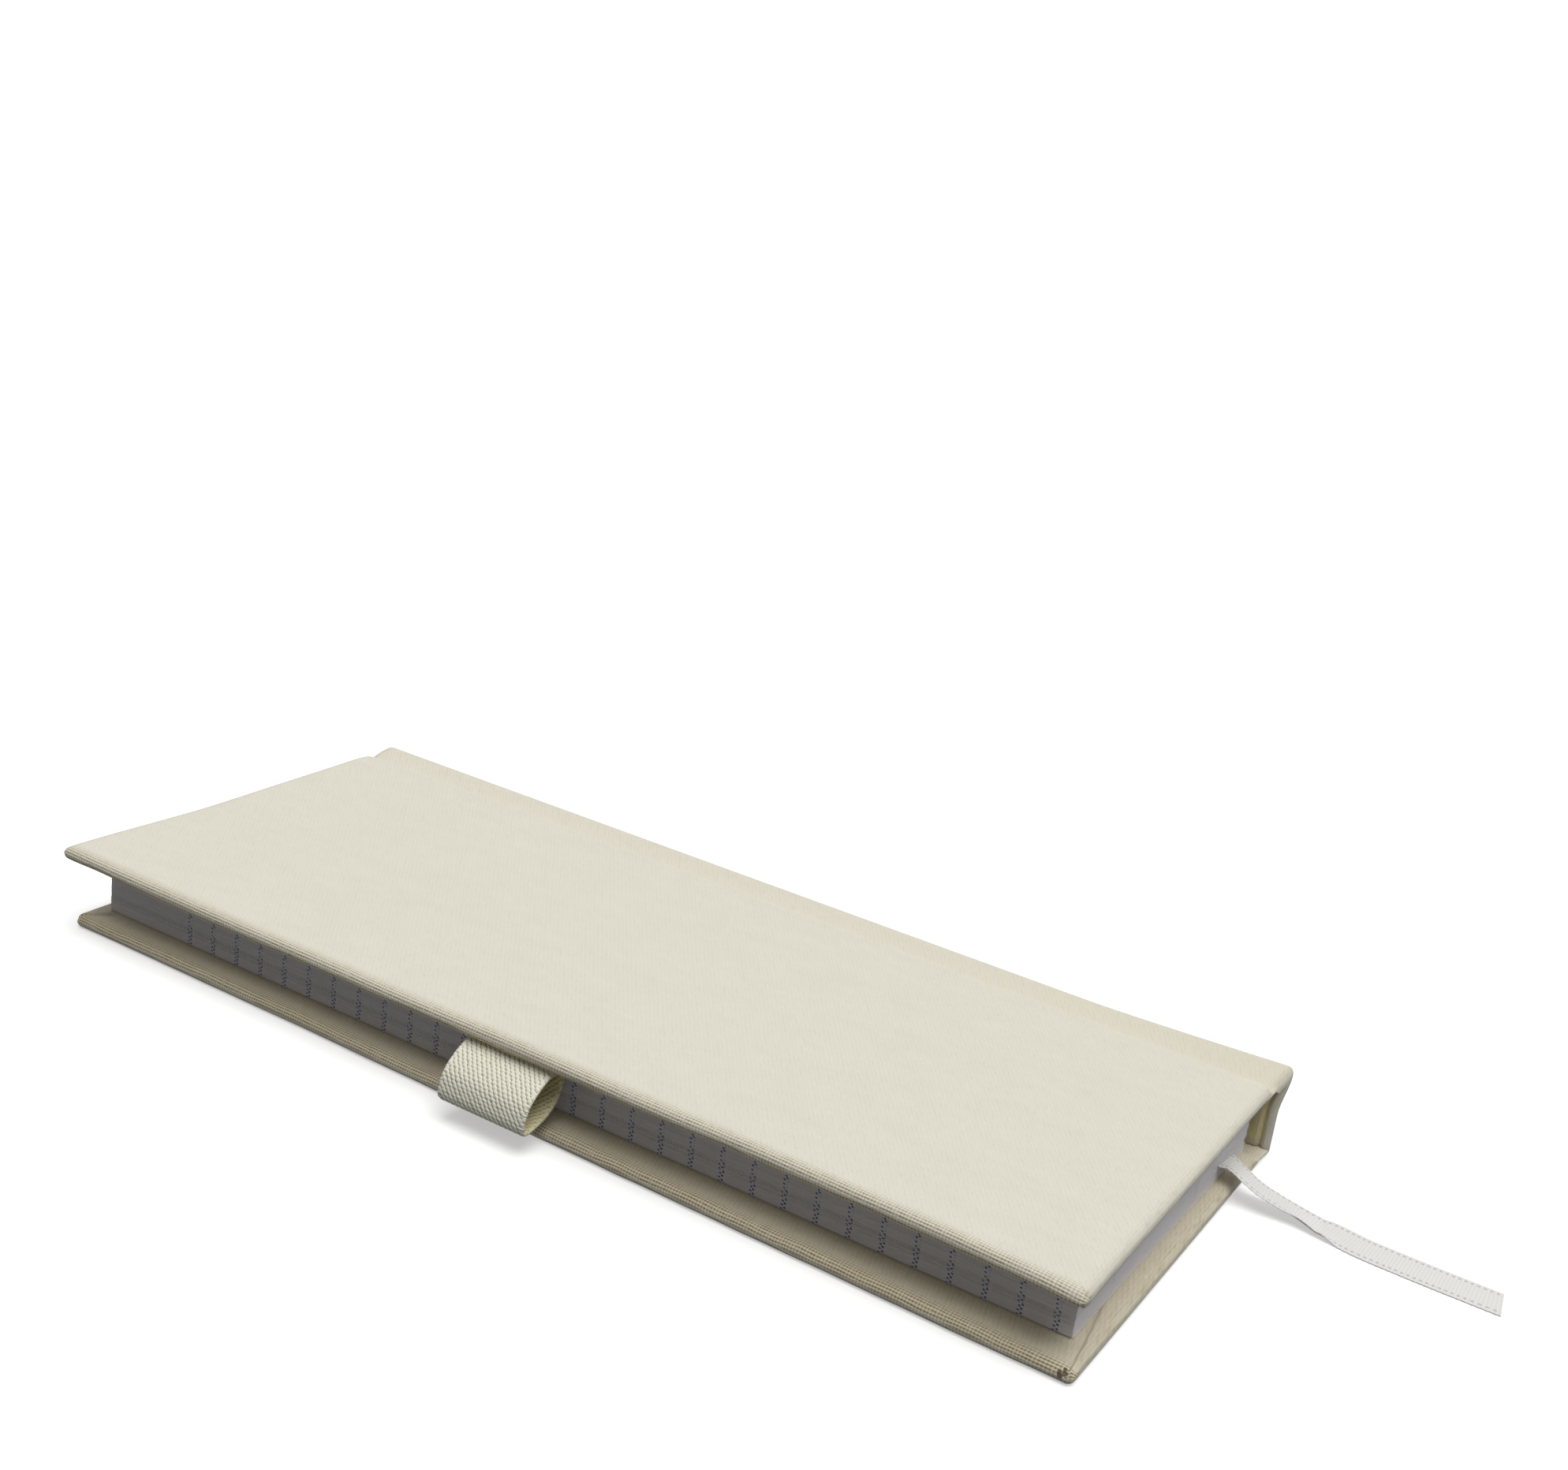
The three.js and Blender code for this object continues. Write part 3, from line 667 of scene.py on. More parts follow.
def beside_ribbon(x, y):
    """0 where the leaves lie on the ribbon, 1 where they have dropped and touch each other."""
    share = (y + page_half) / (2 * page_half)
    centre = (ribbon_exit.x + (marker_head.x - ribbon_exit.x) * share) / MM
    return smooth((abs(x - centre) - RIBBON_WIDTH / 2 - RIBBON_ROOM) / LEAF_DROP)


def leaf_stack(name, node_name, fold, seed):
    """A stack of thin sheets in a node's box, rounded at the fold about a height."""
    low, high = (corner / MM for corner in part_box(node_name))
    fold = fold or (low.z + high.z) / 2
    chance = random.Random(seed)
    sheets = round((high.z - low.z) / SHEET)
    slot = slot_middle / MM
    rest = 0
    if 0 < slot - high.z < RIBBON_SLOT:
        rest = slot - high.z
    elif 0 < low.z - slot < RIBBON_SLOT:
        rest = slot - low.z
    vertices, faces = [], []
    radius = section_depth / 2
    ring = 2 * (Y_STEPS + 1)
    for s in range(sheets):
        z0 = low.z + (high.z - low.z) * s / sheets
        z1 = low.z + (high.z - low.z) * (s + 1) / sheets - SHEET_GAP
        middle = (z0 + z1) / 2 - fold
        end = high.x - radius + math.sqrt(max(0, radius ** 2 - middle ** 2))
        fore = low.x + chance.uniform(0, FORE_UNEVEN)
        tail_cut = low.y + chance.uniform(0, END_UNEVEN)
        head_cut = high.y - chance.uniform(0, END_UNEVEN)
        nearness = (s + 0.5) / sheets if rest > 0 else 1 - (s + 0.5) / sheets
        base = len(vertices)
        for i in range(X_STEPS + 1):
            x = fore + (end - fore) * (1 - (1 - i / X_STEPS) ** X_CROWDING)
            for k in range(ring):
                under = k <= Y_STEPS
                across = k if under else ring - 1 - k
                y = tail_cut + (head_cut - tail_cut) * across / Y_STEPS
                drop = rest * nearness * beside_ribbon(x, y)
                vertices.append(Vector((x, y, (z0 if under else z1) + drop)) * MM)
        faces += band_faces(X_STEPS + 1, ring, base)
    stack = mesh_object(name, vertices, faces, smooth=False)
    layer = stack.data.uv_layers.new(name="page_mm")
    for polygon in stack.data.polygons:
        place = polygon.index % (X_STEPS * ring + 2 * Y_STEPS)
        k = place % ring
        at_fore = place >= X_STEPS * ring
        at_end = not at_fore and k in (Y_STEPS, ring - 1)
        polygon.material_index = int(at_fore or at_end)
        for corner in polygon.loop_indices:
            x, y, z = stack.data.vertices[stack.data.loops[corner].vertex_index].co / MM
            across = high.x - x if k < Y_STEPS else x - low.x - VERSO_SHIFT
            down = UNRULED if at_end else high.y - y
            layer.data[corner].uv = (z if at_fore or at_end else across, down)
    stack.data.materials.append(ruled_paper)
    stack.data.materials.append(edge_paper)
    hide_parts(node_name)
    return stack


ruled_paper = paper_face()
edge_paper = paper_edge()
plain_paper = fibrous("white_endpaper", "#EFEEEA", "#E6E5E1", 0.5)
for node_name, word, fold, seed, body, other, reach in (
    ("section_1", "leaves", None, 0, "front_cover", "spine", BEND_REACH),
    ("section_2_left", "leaves", fold_of_second, 1, "front_cover", "spine", BEND_REACH),
    ("turning_leaves_1", "paper", fold_of_second, 11, "leaves_1", "spine", LEAF_BEND_REACH),
    ("turning_leaves_2", "paper", fold_of_second, 20, "leaves_2", "back_cover", LEAF_BEND_REACH),
    ("section_3", "paper", None, 21, "leaves_3", "back_cover", LEAF_BEND_REACH),
    ("section_4", "paper", None, 22, "leaves_4", "back_cover", LEAF_BEND_REACH),
    ("section_5", "leaves", None, 30, "back_cover", None, 0),
    ("section_6", "leaves", None, 31, "back_cover", None, 0),
):
    stack = leaf_stack(f"{node_name}_{word}", node_name, fold, seed)
    if other:
        bend_at_fold(stack)
    else:
        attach(stack, body)
for name in ("back_pastedown", "back_flyleaf"):
    solid = frame["nodes"][name].data
    solid.materials.clear()
    solid.materials.append(plain_paper)
for name in ("front_pastedown", "front_flyleaf"):
    low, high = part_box(name)
    low.x = block_low.x + ENDPAPER_INSET * MM
    sheet = eased_slab(f"{name}_sheet", low, high, ENDPAPER_EASE * MM)
    sheet.data.materials.append(plain_paper)
    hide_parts(name)
    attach(sheet, "front_cover")

# Case cloth
# One sheet of ivory cotton cloth, glued round the boards and spine, turned in and mitred. It is
# made here as two halves that meet along the middle of the spine.
# Its threads stand out where it bends round an edge, in relief and with painted shade between them.
CLOTH = 0.4
NOSE_ROUNDING = 1.35
GROOVE = 1.0
SPINE_ROUNDING = 1.0
TWILL_PITCH = 0.8
RIB_LENGTH = 2.2
RIB_WANDER = 1.1
SPECKS_SHOWN_FROM = 0.72
SPECK_SHARE = 0.014
THREAD_PITCH = 0.6
EDGE_THREAD_DEPTH = 0.55
EDGE_THREAD_REACH = 2.4
END_THREAD_REACH = 1.6
END_THREAD_SHARE = 0.35
CREASE_HIGHLIGHT_WIDTH = 0.9
STRIP_TINT_FROM = 60
MARK_RADIUS = 0.55 * MM
MARK_SOLID = 0.394 * MM
MARK_COVER = 0.85
CORNER_MARKS = ((-48.6, -109.7, 2.1), (-48.8, -109.9, 1.5), (-47.9, -110.4, 2.7), (-48.4, -110.6, 2.2))
TURN_IN = 14
MITRE_LENGTH = 24
MITRE_STEP = 0.3
MITRE_CREASE = 0.2
MITRE_CREASE_WIDTH = 0.25
EVEN_MITRE = (0, 0.85)
FRONT_TAIL_MITRE = (0.85, 0.148)
HEAD_MARGIN = 3.4
FORE_MARGIN = 0.7
SPINE_LIP = 1.9
LIP_HEIGHT = 0.5
LIP_WIDTH = 0.4
TURNED_IN_SINK = 0.3
FLAT_FROM = 1.6
WORN_EDGE = 5
WANDER = 0.3
FRAY = 0.12
BOARD_WAVE = 0.1
CORNER_ROUNDING = 1.3
CORNER_SPREAD = 12
CORNER_OUT = 0.9
CORNER_DROOP = 0.35
CORNER_FLARE_REACH = 45
END_FLARE_REACH = 84
END_FLARE_DEPTH = 8
TAIL_OUT = 1.0
HEAD_OUT = 0.3
HEAD_CORNER_LIFT = 0.8
HEAD_LIFT_REACH = 42
HEAD_CORNER_OUT = 0.75
GROOVE_SAG = 0.5
GROOVE_SAG_REACH = 5
GROOVE_SAG_DEPTH = 4
TIP_MOVE = Vector((1.5, -0.9, 0.85))
TIP_REACH = 40
END_ROLL = 1.7
END_ROLL_ABOVE = 11
END_ROLL_HELD = 0.6
LEDGE_SWING = 0.0122
LEDGE_SWINGS_FROM = 60
LEDGE_SWING_REACH = 12
END_STEPS = 8
FAR_STEPS = 80
WALL_POINTS = 24
front_low, front_high = (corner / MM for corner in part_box("front_cover_cloth"))
back_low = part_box("back_cover_cloth")[0] / MM
spine_low, spine_high = (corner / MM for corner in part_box("spine_cloth"))
cover_depth = front_high.z - front_low.z
cover_half = front_high.y
fold_x = folds["front_joint"].x / MM


def book_cloth(name, pale, dark, strip_tint_and_light, strip_from, strip_to, crease_highlight_amount, slant_share, painted_shade_depth):
    """Cotton twill, sized and matt. Its ribs are 0.8 mm apart, about half as far again as the real
    ones, so that they show, and slant_share is how far they lean. Shade is painted into the hollows
    between the threads, deeper towards the edges and ends. The strip over the joints is handled to a
    warmer tint towards the tail; on the turned-in cloth the same strip lies inside the spine and is
    painted light, paler and yellower. A pale line over the board's edge is a painted highlight, and
    the lower cover's corner is rubbed through in small marks."""
    material, tree = plain_material(name, pale, 0.82, sheen=0.12)
    across, along = mapped(tree, "cloth_mm")
    aside = node(tree, "Math", (across,), operation="ABSOLUTE")
    run_share = math.sqrt(1 - slant_share ** 2)
    worn = node(tree, "TexNoise", {"Scale": 260, "Detail": 2})
    bowed = total(tree, (aside, slant_share), (along, run_share), (worn, RIB_WANDER))
    lengthwise = total(tree, (along, slant_share / RIB_LENGTH), (aside, -run_share / RIB_LENGTH))
    rib_place = node(tree, "CombineXYZ", (total(tree, (bowed, 1 / TWILL_PITCH)), lengthwise))
    broken = node(tree, "TexNoise", {"Vector": rib_place, "Scale": 1, "Detail": 1})
    uneven = node(tree, "MapRange", {"Value": broken, "From Min": 0.35, "From Max": 0.65})
    twill = total(tree, (wave(tree, bowed, TWILL_PITCH), uneven))
    knots = wave(tree, along, THREAD_PITCH)
    flat = total(tree, (twill, 0.6), (knots, total(tree, (worn, 0.25))))
    edge_across, nearness = mapped(tree, "edge_mm")
    rough = total(tree, (uneven, 1), (1, EDGE_THREAD_DEPTH))
    bent = total(
        tree, (wave(tree, edge_across, THREAD_PITCH), rough), (knots, EDGE_THREAD_DEPTH), (flat, -1)
    )
    weave = total(tree, (flat, 1), (bent, nearness))
    slub = node(tree, "TexNoise", {"Scale": 700, "Detail": 3})
    # Painted shade: the hollows between the threads are darkened, more so near the edges and ends, where the
    # cloth bends.
    hollow = total(tree, (weave, -1), (1, 0.7))
    painted_thread_shade = total(tree, (hollow, total(tree, (nearness, 0.28), (1, painted_shade_depth))))
    mottle = node(tree, "TexNoise", {"Scale": 28, "Detail": 4, "Roughness": 0.6})
    # The strip: on the outer cloth a handled, warmer tint over the joints; on the turned-in cloth it lies
    # inside the spine and is painted light, paler and yellower. Both grow towards the tail.
    tint_and_light_here = node(
        tree, "MapRange",
        {"Value": along, "From Min": STRIP_TINT_FROM, "From Max": -cover_half, "To Min": 0.3, "To Max": 0.65},
    )
    from_middle = node(tree, "Math", (along,), operation="ABSOLUTE")
    for place, outside, inside in (
        (aside, strip_to + 0.7, strip_to),
        (aside, strip_from, strip_from + 1),
        (from_middle, cover_half + 0.5, cover_half - 0.6),
    ):
        here = node(tree, "MapRange", {"Value": place, "From Min": outside, "From Max": inside})
        tint_and_light_here = total(tree, (tint_and_light_here, here))
    # Painted highlight: a pale line along the crease where the cloth goes over the board's edge.
    off_line = node(tree, "Math", (total(tree, (aside, 1), (1, -strip_to - 0.4)),), operation="ABSOLUTE")
    painted_crease_highlight = node(
        tree, "MapRange", {"Value": off_line, "From Min": CREASE_HIGHLIGHT_WIDTH, "From Max": 0, "To Max": crease_highlight_amount}
    )
    cells = node(tree, "TexVoronoi", {"Scale": 42, "Randomness": 1}).node
    dot = node(tree, "Math", (cells.outputs["Distance"], SPECK_SHARE), operation="LESS_THAN")
    chance = node(tree, "SeparateColor", (cells.outputs["Color"],))
    shown = node(tree, "Math", (chance, SPECKS_SHOWN_FROM), operation="GREATER_THAN")
    speck = total(tree, (dot, shown))
    nearest = 1
    spot = node(tree, "TexCoord", {}, "Object")
    for mark in CORNER_MARKS:
        far = node(tree, "VectorMath", (spot, Vector(mark) * MM), "Value", operation="DISTANCE")
        nearest = node(tree, "Math", (far, nearest), operation="MINIMUM")
    rubbed = node(
        tree, "MapRange",
        {"Value": nearest, "From Min": MARK_RADIUS, "From Max": MARK_SOLID, "To Max": MARK_COVER},
    )
    coats = (
        (mottle, 1, pale), (tint_and_light_here, 1, strip_tint_and_light), (painted_crease_highlight, 1, "#F4F0E2"), (painted_thread_shade, 1, "#94804A"),
        (speck, 0.6, "#7D7566"), (rubbed, 1, "#4A3524"),
    )
    dress(tree, painted(tree, dark, *coats), total(tree, (weave, 1), (slub, 1)), 0.6, 0.08)
    return material


# The outer cloth: its crease over the board's edge gets a painted highlight of 0.45.
cloth = book_cloth("ivory_book_cloth", "#E4E0D2", "#DCD8C8", "#DFD8C3", 7.6, 16.9, 0.45, 0.59, 0.07)
# The turned-in cloth: #FAF0B2 inside the spine is painted light, and 0.19 gives its threads deeper painted
# shade.
inner_cloth = book_cloth("turned_in_book_cloth", "#EAE2CC", "#DED5BC", "#FAF0B2", -2, 6.0, 0, 0.33, 0.19)


def run_on(line, steps, x, z):
    """Carries a line on, straight to a point."""
    start = line[-1]
    line.extend(start.lerp(Vector((x, z)), i / steps) for i in range(1, steps + 1))


def round_on(line, steps, x, z, radius, start, end):
    """Carries a line on round a corner, with angles in degrees from +x towards +z."""
    for i in range(1, steps + 1):
        angle = math.radians(start + (end - start) * i / steps)
        line.append(Vector((x, z)) + Vector((math.cos(angle), math.sin(angle))) * radius)


def case_profile(fore_edge):
    """The outside and inside lines of half the case, from the middle of the spine to the
    fore-edge, as distance across the book and height. It is drawn for the back cover."""
    top, out = spine_high.z, spine_high.x
    middle = (spine_low.z + top) / 2
    wall = out - cover_depth
    inside = top - cover_depth
    groove = top - GROOVE
    under = groove - 2 * CLOTH
    outer, inner = [Vector((out, middle))], [Vector((wall, middle))]
    run_on(outer, 8, out, top - SPINE_ROUNDING)
    round_on(outer, 8, out - SPINE_ROUNDING, top - SPINE_ROUNDING, SPINE_ROUNDING, 0, 90)
    for steps, x, z in ((8, wall, top - 2.0), (4, wall + 0.35, top - 1.35), (4, wall - 0.5, top - 1.6)):
        run_on(inner, steps, x, z)
    # The groove: how far each place is from the fold line, outside and inside
    for steps, outer_x, outer_z, inner_x, inner_z in (
        (12, 0.9, groove + 0.05, 0.9, under + 0.05),
        (3, 0.2, groove, 0.2, under),
        (3, -0.25, groove + 0.15, -0.3, under + 0.05),
        (3, -0.6, top - 0.42, -0.6, inside + 0.5),
        (3, -1.0, top - 0.14, -0.9, inside + 0.12),
        (3, -FLAT_FROM, top, -FLAT_FROM, inside),
    ):
        run_on(outer, steps, fold_x + outer_x, outer_z)
        run_on(inner, steps, fold_x + inner_x, inner_z)
    for to_go, steps in ((10, 60), (NOSE_ROUNDING, 20)):
        run_on(outer, steps, fore_edge + to_go, top)
        run_on(inner, steps, fore_edge + to_go, inside)
    round_on(outer, 10, fore_edge + NOSE_ROUNDING, top - NOSE_ROUNDING, NOSE_ROUNDING, 90, 176)
    round_on(inner, 10, fore_edge + NOSE_ROUNDING, inside + NOSE_ROUNDING, NOSE_ROUNDING, 270, 184)
    return outer, inner


def end_stations():
    """Places along the book, close together at its ends, and how thick the case is there."""
    one_end = []
    for i in range(END_STEPS + 1):
        angle = math.radians(4 + 86 * i / END_STEPS)
        one_end.append((NOSE_ROUNDING * (1 - math.cos(angle)), math.sin(angle)))
    for step, count in ((0.2, 20), (0.5, 13)):
        start = one_end[-1][0]
        one_end += [(start + step * i, 1.0) for i in range(1, count + 1)]
    reach = one_end[-1][0]
    far = [(reach + 2 * (cover_half - reach) * i / FAR_STEPS, 1.0) for i in range(1, FAR_STEPS)]
    places = [(d - cover_half, thick) for d, thick in one_end + far]
    return places + [(cover_half - d, thick) for d, thick in reversed(one_end)]


def mitre(from_edge, from_end, crease_line, margin):
    """The turned-in cloth is folded over at the corner: a step along a slanting crease."""
    if from_edge > MITRE_LENGTH or from_end > TURN_IN:
        return 0
    start, slope = crease_line
    covered = min(from_edge - margin, from_end - HEAD_MARGIN)
    shown = (1 - smooth(covered / 0.5)) * smooth((MITRE_LENGTH - from_edge) / 6)
    aside = from_end - start - slope * from_edge
    crease = math.exp(-(((aside - MITRE_CREASE_WIDTH) / MITRE_CREASE_WIDTH) ** 2))
    return shown * (MITRE_STEP * (0.5 - smooth(aside / 0.4 + 0.5)) - MITRE_CREASE * crease)


def lifted_share(from_edge, from_end):
    """How far the upper cover's head corner has sprung up, from 0 to 1."""
    return smooth(1 - from_edge / HEAD_LIFT_REACH) * smooth(1 - from_end / HEAD_LIFT_REACH)


def flared_share(x, y, z):
    """How far the spine's upper tail corner has been pushed out, from 0 to 1."""
    along = max(0.0, 1 - (y + cover_half) / TIP_REACH) ** 1.3
    return along * smooth((x - fold_x) / (spine_high.x - fold_x)) * smooth((z - spine_high.z / 2) / 7)


def quarter_round(radius, from_end):
    """How far a rounded end has drawn back, near its end."""
    return radius - math.sqrt(radius ** 2 - max(0, radius - from_end) ** 2)


def bend_board(board, cuts, shift):
    """Cuts a board across, finely enough to bend, and moves it with the cloth that wraps it."""
    mesh = bmesh.new()
    mesh.from_mesh(board.data)
    for axis, places in cuts:
        across = Vector([float(i == axis) for i in range(3)])
        for place in places:
            everything = mesh.verts[:] + mesh.edges[:] + mesh.faces[:]
            bmesh.ops.bisect_plane(mesh, geom=everything, plane_co=across * place * MM, plane_no=across)
    for vertex in mesh.verts:
        vertex.co += shift(*(vertex.co / MM)) * MM
    mesh.to_mesh(board.data)
    mesh.free()


def case_half(name, fore_edge, upper, tail_mitre):
    """Half of the case as one closed shell of cloth, bent as use has left it."""
    outer, inner = case_profile(fore_edge)
    count = len(outer)
    lengths = [0.0]
    for a, b in zip(outer, outer[1:]):
        lengths.append(lengths[-1] + (b - a).length)
    wall = spine_high.x - cover_depth
    margin = block_low.x / MM - fore_edge - FORE_MARGIN
    vertices, values, edge_values, kinds = [], [], [], []
    stations = end_stations()
    for y, thick in stations:
        from_end = cover_half - abs(y)
        at_tail = y < 0
        corner_inset = quarter_round(CORNER_ROUNDING, from_end)
        for face, line in ((0, outer), (1, inner)):
            for k in reversed(range(count)) if face else range(count):
                middle = (outer[k] + inner[k]) / 2
                x, z = middle + (line[k] - middle) * thick
                from_edge = x - fore_edge
                x += corner_inset * max(0, 1 - from_edge / CORNER_SPREAD) ** 2
                wander = noise.noise(Vector((x * 0.05, y * 0.035, 7.0 if upper else 3.0)))
                fray = noise.noise(Vector((x * 0.4, y * 0.16, z * 0.3)))
                edge = max(0.0, 1 - from_edge / WORN_EDGE)
                x += edge * (wander * WANDER + fray * FRAY)
                if upper and face == 0 and x < fold_x - FLAT_FROM:
                    z += wander * BOARD_WAVE * thick
                if x < fold_x and (upper or face):
                    z += edge * fray * BOARD_WAVE
                if upper:
                    sag = GROOVE_SAG * smooth(1 - abs(fold_x - x) / GROOVE_SAG_REACH)
                    z -= sag * max(0, 1 - from_end / GROOVE_SAG_DEPTH) ** 2
                if upper and at_tail:
                    outermost = smooth((x - wall - 0.2) / 2.4)
                    rolled = smooth((x - fold_x - 1) / 2) * smooth((z - END_ROLL_ABOVE) / 4)
                    z -= quarter_round(END_ROLL, from_end) * rolled * (1 - END_ROLL_HELD * outermost)
                if face:
                    crease_line = tail_mitre if at_tail else EVEN_MITRE
                    z -= mitre(max(0, from_edge), from_end, crease_line, margin)
                if face and thick == 1:
                    turned_in = smooth((from_end - SPINE_LIP) / 0.5) * (1 - smooth(from_end - TURN_IN))
                    lip = LIP_HEIGHT * math.exp(-(((from_end - SPINE_LIP) / LIP_WIDTH) ** 2))
                    x += (lip - TURNED_IN_SINK * turned_in) * smooth(x - wall + 1.2)
                near_end = smooth(1 - from_end / END_FLARE_DEPTH)
                along_end = max(0, 1 - from_edge / END_FLARE_REACH) * near_end
                place_y = y - TAIL_OUT * along_end if at_tail else y + HEAD_OUT * along_end
                if upper:
                    along_fore = smooth(1 - from_edge / CORNER_SPREAD)
                    along_fore *= max(0, 1 - from_end / CORNER_FLARE_REACH)
                    x -= along_fore * (CORNER_OUT if at_tail else HEAD_CORNER_OUT)
                    if at_tail:
                        z -= CORNER_DROOP * along_fore * along_end
                    else:
                        lifted = lifted_share(from_edge, from_end)
                        z += HEAD_CORNER_LIFT * lifted
                        place_y += HEAD_CORNER_OUT * lifted * near_end
                    place = Vector((x, place_y, z)) + TIP_MOVE * flared_share(x, y, z)
                else:
                    swing = LEDGE_SWING * max(0, LEDGE_SWINGS_FROM - y)
                    x -= swing * smooth(1 - from_edge / LEDGE_SWING_REACH)
                    place = Vector((x, place_y, spine_high.z - z))
                vertices.append(place * MM)
                values.append((lengths[k] if face == 0 else -lengths[k], y))
                at_nose = smooth(1.4 - from_edge / EDGE_THREAD_REACH)
                at_end = smooth(1.4 - from_end / END_THREAD_REACH)
                stretch = from_end + (1 - thick) * 1.4 if at_end > at_nose else lengths[-1] - lengths[k]
                edge_values.append((stretch + 0.25 * fray, max(at_nose, at_end * END_THREAD_SHARE)))
    ring = 2 * count
    for s in range(len(stations) - 1):
        rounded = not END_STEPS <= s < len(stations) - END_STEPS - 1
        for k in range(ring):
            on_wall = ring - 1 - k <= WALL_POINTS
            kinds.append(int(k >= count and not (on_wall and rounded)))
    faces = band_faces(len(stations), ring)
    kinds += [0] * (len(faces) - len(kinds))
    if upper:
        faces = [corners[::-1] for corners in faces]
    made = mesh_object(name, vertices, faces)
    made.data.polygons.foreach_set("material_index", kinds)
    made.data.set_sharp_from_angle(angle=math.radians(60))
    set_uv(made, "cloth_mm", values)
    set_uv(made, "edge_mm", edge_values)
    made.data.materials.append(cloth)
    made.data.materials.append(inner_cloth)
    return made


for side, upper, low, tail_mitre, stands_for in (
    ("back", True, back_low, EVEN_MITRE, ("back_cover_cloth", "spine_cloth")),
    ("front", False, front_low, FRONT_TAIL_MITRE, ("front_cover_cloth",)),
):
    case = case_half(f"case_cloth_{side}", low.x, upper, tail_mitre)
    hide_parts(*stands_for)
    fold = folds[f"{side}_joint"]
    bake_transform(case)
bend_board(
    boards["back_board"], ((0, range(-48, -6, 3)), (1, range(69, 111, 3))),
    lambda x, y, z: Vector((0, 0, HEAD_CORNER_LIFT * lifted_share(x - back_low.x, cover_half - y))),
)
bend_board(
    boards["spine_board"], ((1, range(-110, -70, 3)), (2, range(2, 16))),
    lambda x, y, z: TIP_MOVE * flared_share(x, y, z),
)

# Pen loop
# A band of knitted elastic three quarters of an inch wide, doubled into a loop. Its ends are
# glued under the back cover at the middle of the fore-edge, and it hangs open for a pencil.
LOOP_WIDTH = 19
LOOP_FLAT = 0.94
ELASTIC = 0.9
KNIT_DEPTH = 0.17
KNIT_ROW = 0.66
KNIT_COLUMN = 1.08
STITCH_LENGTH = 0.6
STITCH_WIDTH = 0.31
STITCH_SHIFT = 0.16
SELVEDGE_FROM = 0.945
SELVEDGE_PITCH = 0.8
SELVEDGE_OUT = 0.22
LOOP_LINE = [
    (12.2, -0.1), (8, -0.1), (5.2, 0.25), (2.2, 0.85), (-1.3, 2.5), (-4.2, 5.0), (-5.3, 7.9), (-5.2, 9.6),
    (-4.2, 10.2), (-1.6, 9.8), (1.4, 8.7), (3.9, 6.5), (5.2, 3.1), (5.7, 1.3),
]
LOOP_ACROSS = 146
LOOP_STEPS_BETWEEN = 16
LOOP_STEP = 0.13


def knit(along, across):
    """How far a point of the band stands out, 0 in a hole and 1 on a stitch."""
    along += STITCH_SHIFT * noise.noise(Vector((along * 1.1, across * 0.9, 2.0)))
    across += STITCH_SHIFT * noise.noise(Vector((along * 0.9, across * 1.3, 5.0)))
    row = along / KNIT_ROW
    u = (row - math.floor(row) - 0.5) * KNIT_ROW
    v = ((across / KNIT_COLUMN + 0.5 * math.floor(row)) % 1 - 0.5) * KNIT_COLUMN
    far = math.hypot((0.45 * u - 0.9 * v) / STITCH_LENGTH, (0.9 * u + 0.45 * v) / STITCH_WIDTH)
    return 1 - smooth((far - 0.55) / 0.7)


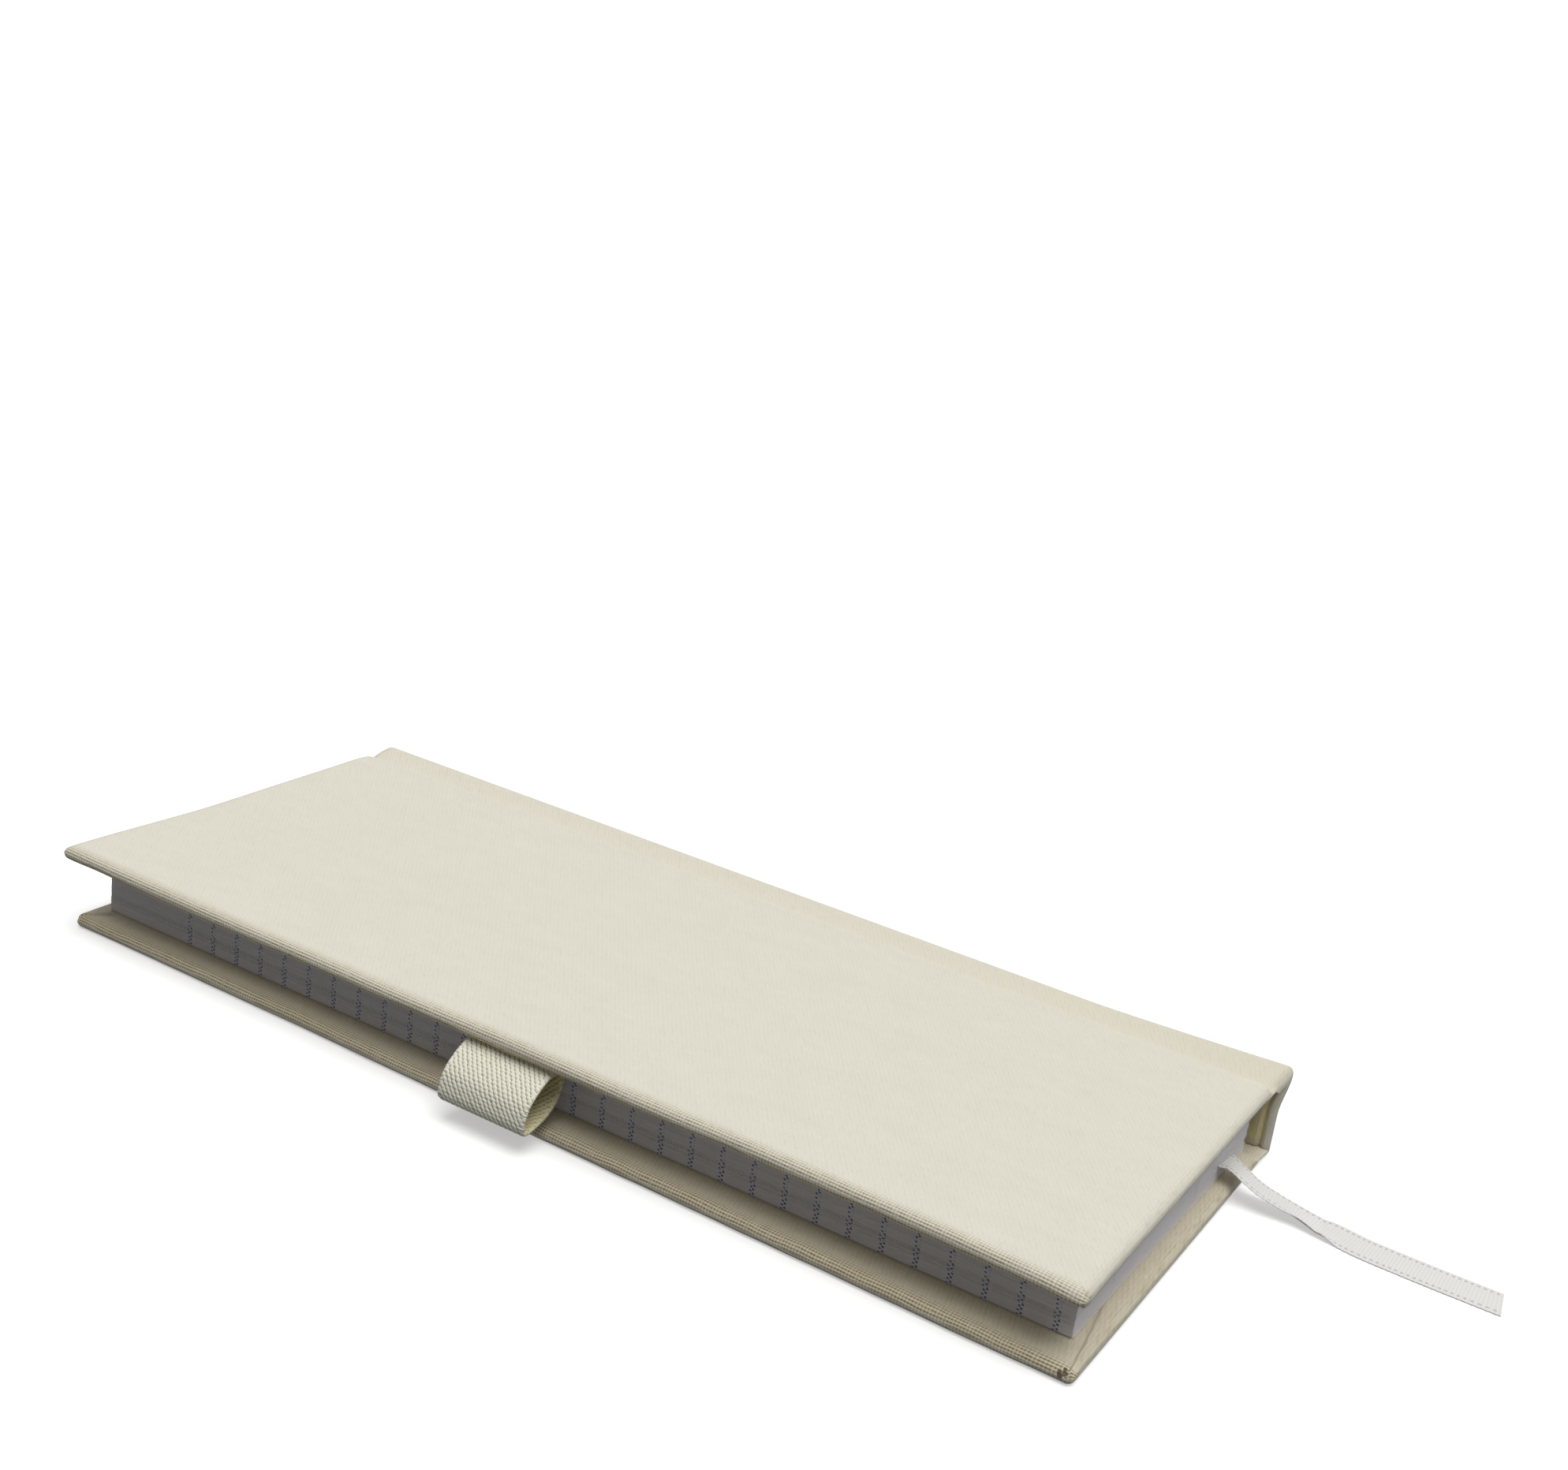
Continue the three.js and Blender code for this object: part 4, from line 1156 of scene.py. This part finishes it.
def knitted_elastic():
    """Rubber core knitted over with polyester: matt, with rows of small holes darkened with painted shade,
    and a yellower inner face, painted light bounced inside the loop.
    """
    material, tree = plain_material("knitted_elastic", "#E2E1D2", 0.88, sheen=0.15)
    depth = node(tree, "Attribute", {}, "Fac", attribute_name="knit_height")
    raised = node(tree, "MapRange", {"Value": depth, "From Max": 0.5})
    # Painted light: the loop's inner face is tinted yellower, for light bounced inside the loop.
    inside = node(tree, "Attribute", {}, "Fac", attribute_name="inner_face")
    strand = node(tree, "TexNoise", {"Scale": 2600, "Detail": 2})
    yarn = painted(tree, "#EBE8D4", (strand, 1, "#FAF7E9"), (inside, 1, "#E6DFB4"))
    # Painted shade: the knit's holes are darkened.
    painted_hole_shade = node(tree, "Math", (1, raised), operation="SUBTRACT")
    dress(tree, painted(tree, yarn, (painted_hole_shade, 1, "#A8A280")), strand, 0.4, 0.08)
    return material


def pen_loop():
    """The band along the loop's line, with its knit as relief and a beaded selvedge."""
    points = [Vector((back_low.x + inwards, 0, back_low.z - down)) for inwards, down in LOOP_LINE]
    line = []
    for point in spline(points, LOOP_STEPS_BETWEEN):
        start = line[-1] if line else point
        steps = max(1, round((point - start).length / LOOP_STEP))
        line += [start.lerp(point, i / steps) for i in range(1, steps + 1)]
    vertices, heights, insides = [], [], []
    length = 0
    for i, point in enumerate(line):
        length += (point - line[max(0, i - 1)]).length
        out = heading(line, i).cross(Vector((0, 1, 0))).normalized()
        for face in (1, -1):
            for k in range(LOOP_ACROSS + 1):
                share = (k / LOOP_ACROSS * 2 - 1) * face
                across = share * LOOP_WIDTH / 2
                height = knit(length + (0 if face > 0 else KNIT_ROW / 2), across)
                past = max(0, (abs(share) - LOOP_FLAT) / (1 - LOOP_FLAT))
                beads = 0
                if abs(share) > SELVEDGE_FROM:
                    beads = SELVEDGE_OUT * math.sin(math.tau * length / SELVEDGE_PITCH)
                    height = max(0.55 * height, 0.5 + 2.3 * beads)
                thick = (ELASTIC / 2 - KNIT_DEPTH * (1 - height)) * math.sqrt(max(0.05, 1 - past ** 2))
                spot = point + out * face * thick
                spot.y += across + math.copysign(1, share) * abs(beads)
                vertices.append(spot * MM)
                heights.append(height)
                insides.append(float(face > 0))
    ring = 2 * (LOOP_ACROSS + 1)
    made = mesh_object("pen_loop_elastic", vertices, band_faces(len(line), ring))
    for name, shares in (("knit_height", heights), ("inner_face", insides)):
        made.data.attributes.new(name, "FLOAT", "POINT").data.foreach_set("value", shares)
    made.data.materials.append(knitted_elastic())
    return made


loop = pen_loop()
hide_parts("pen_loop")
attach(loop, "back_cover")

low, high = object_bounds()
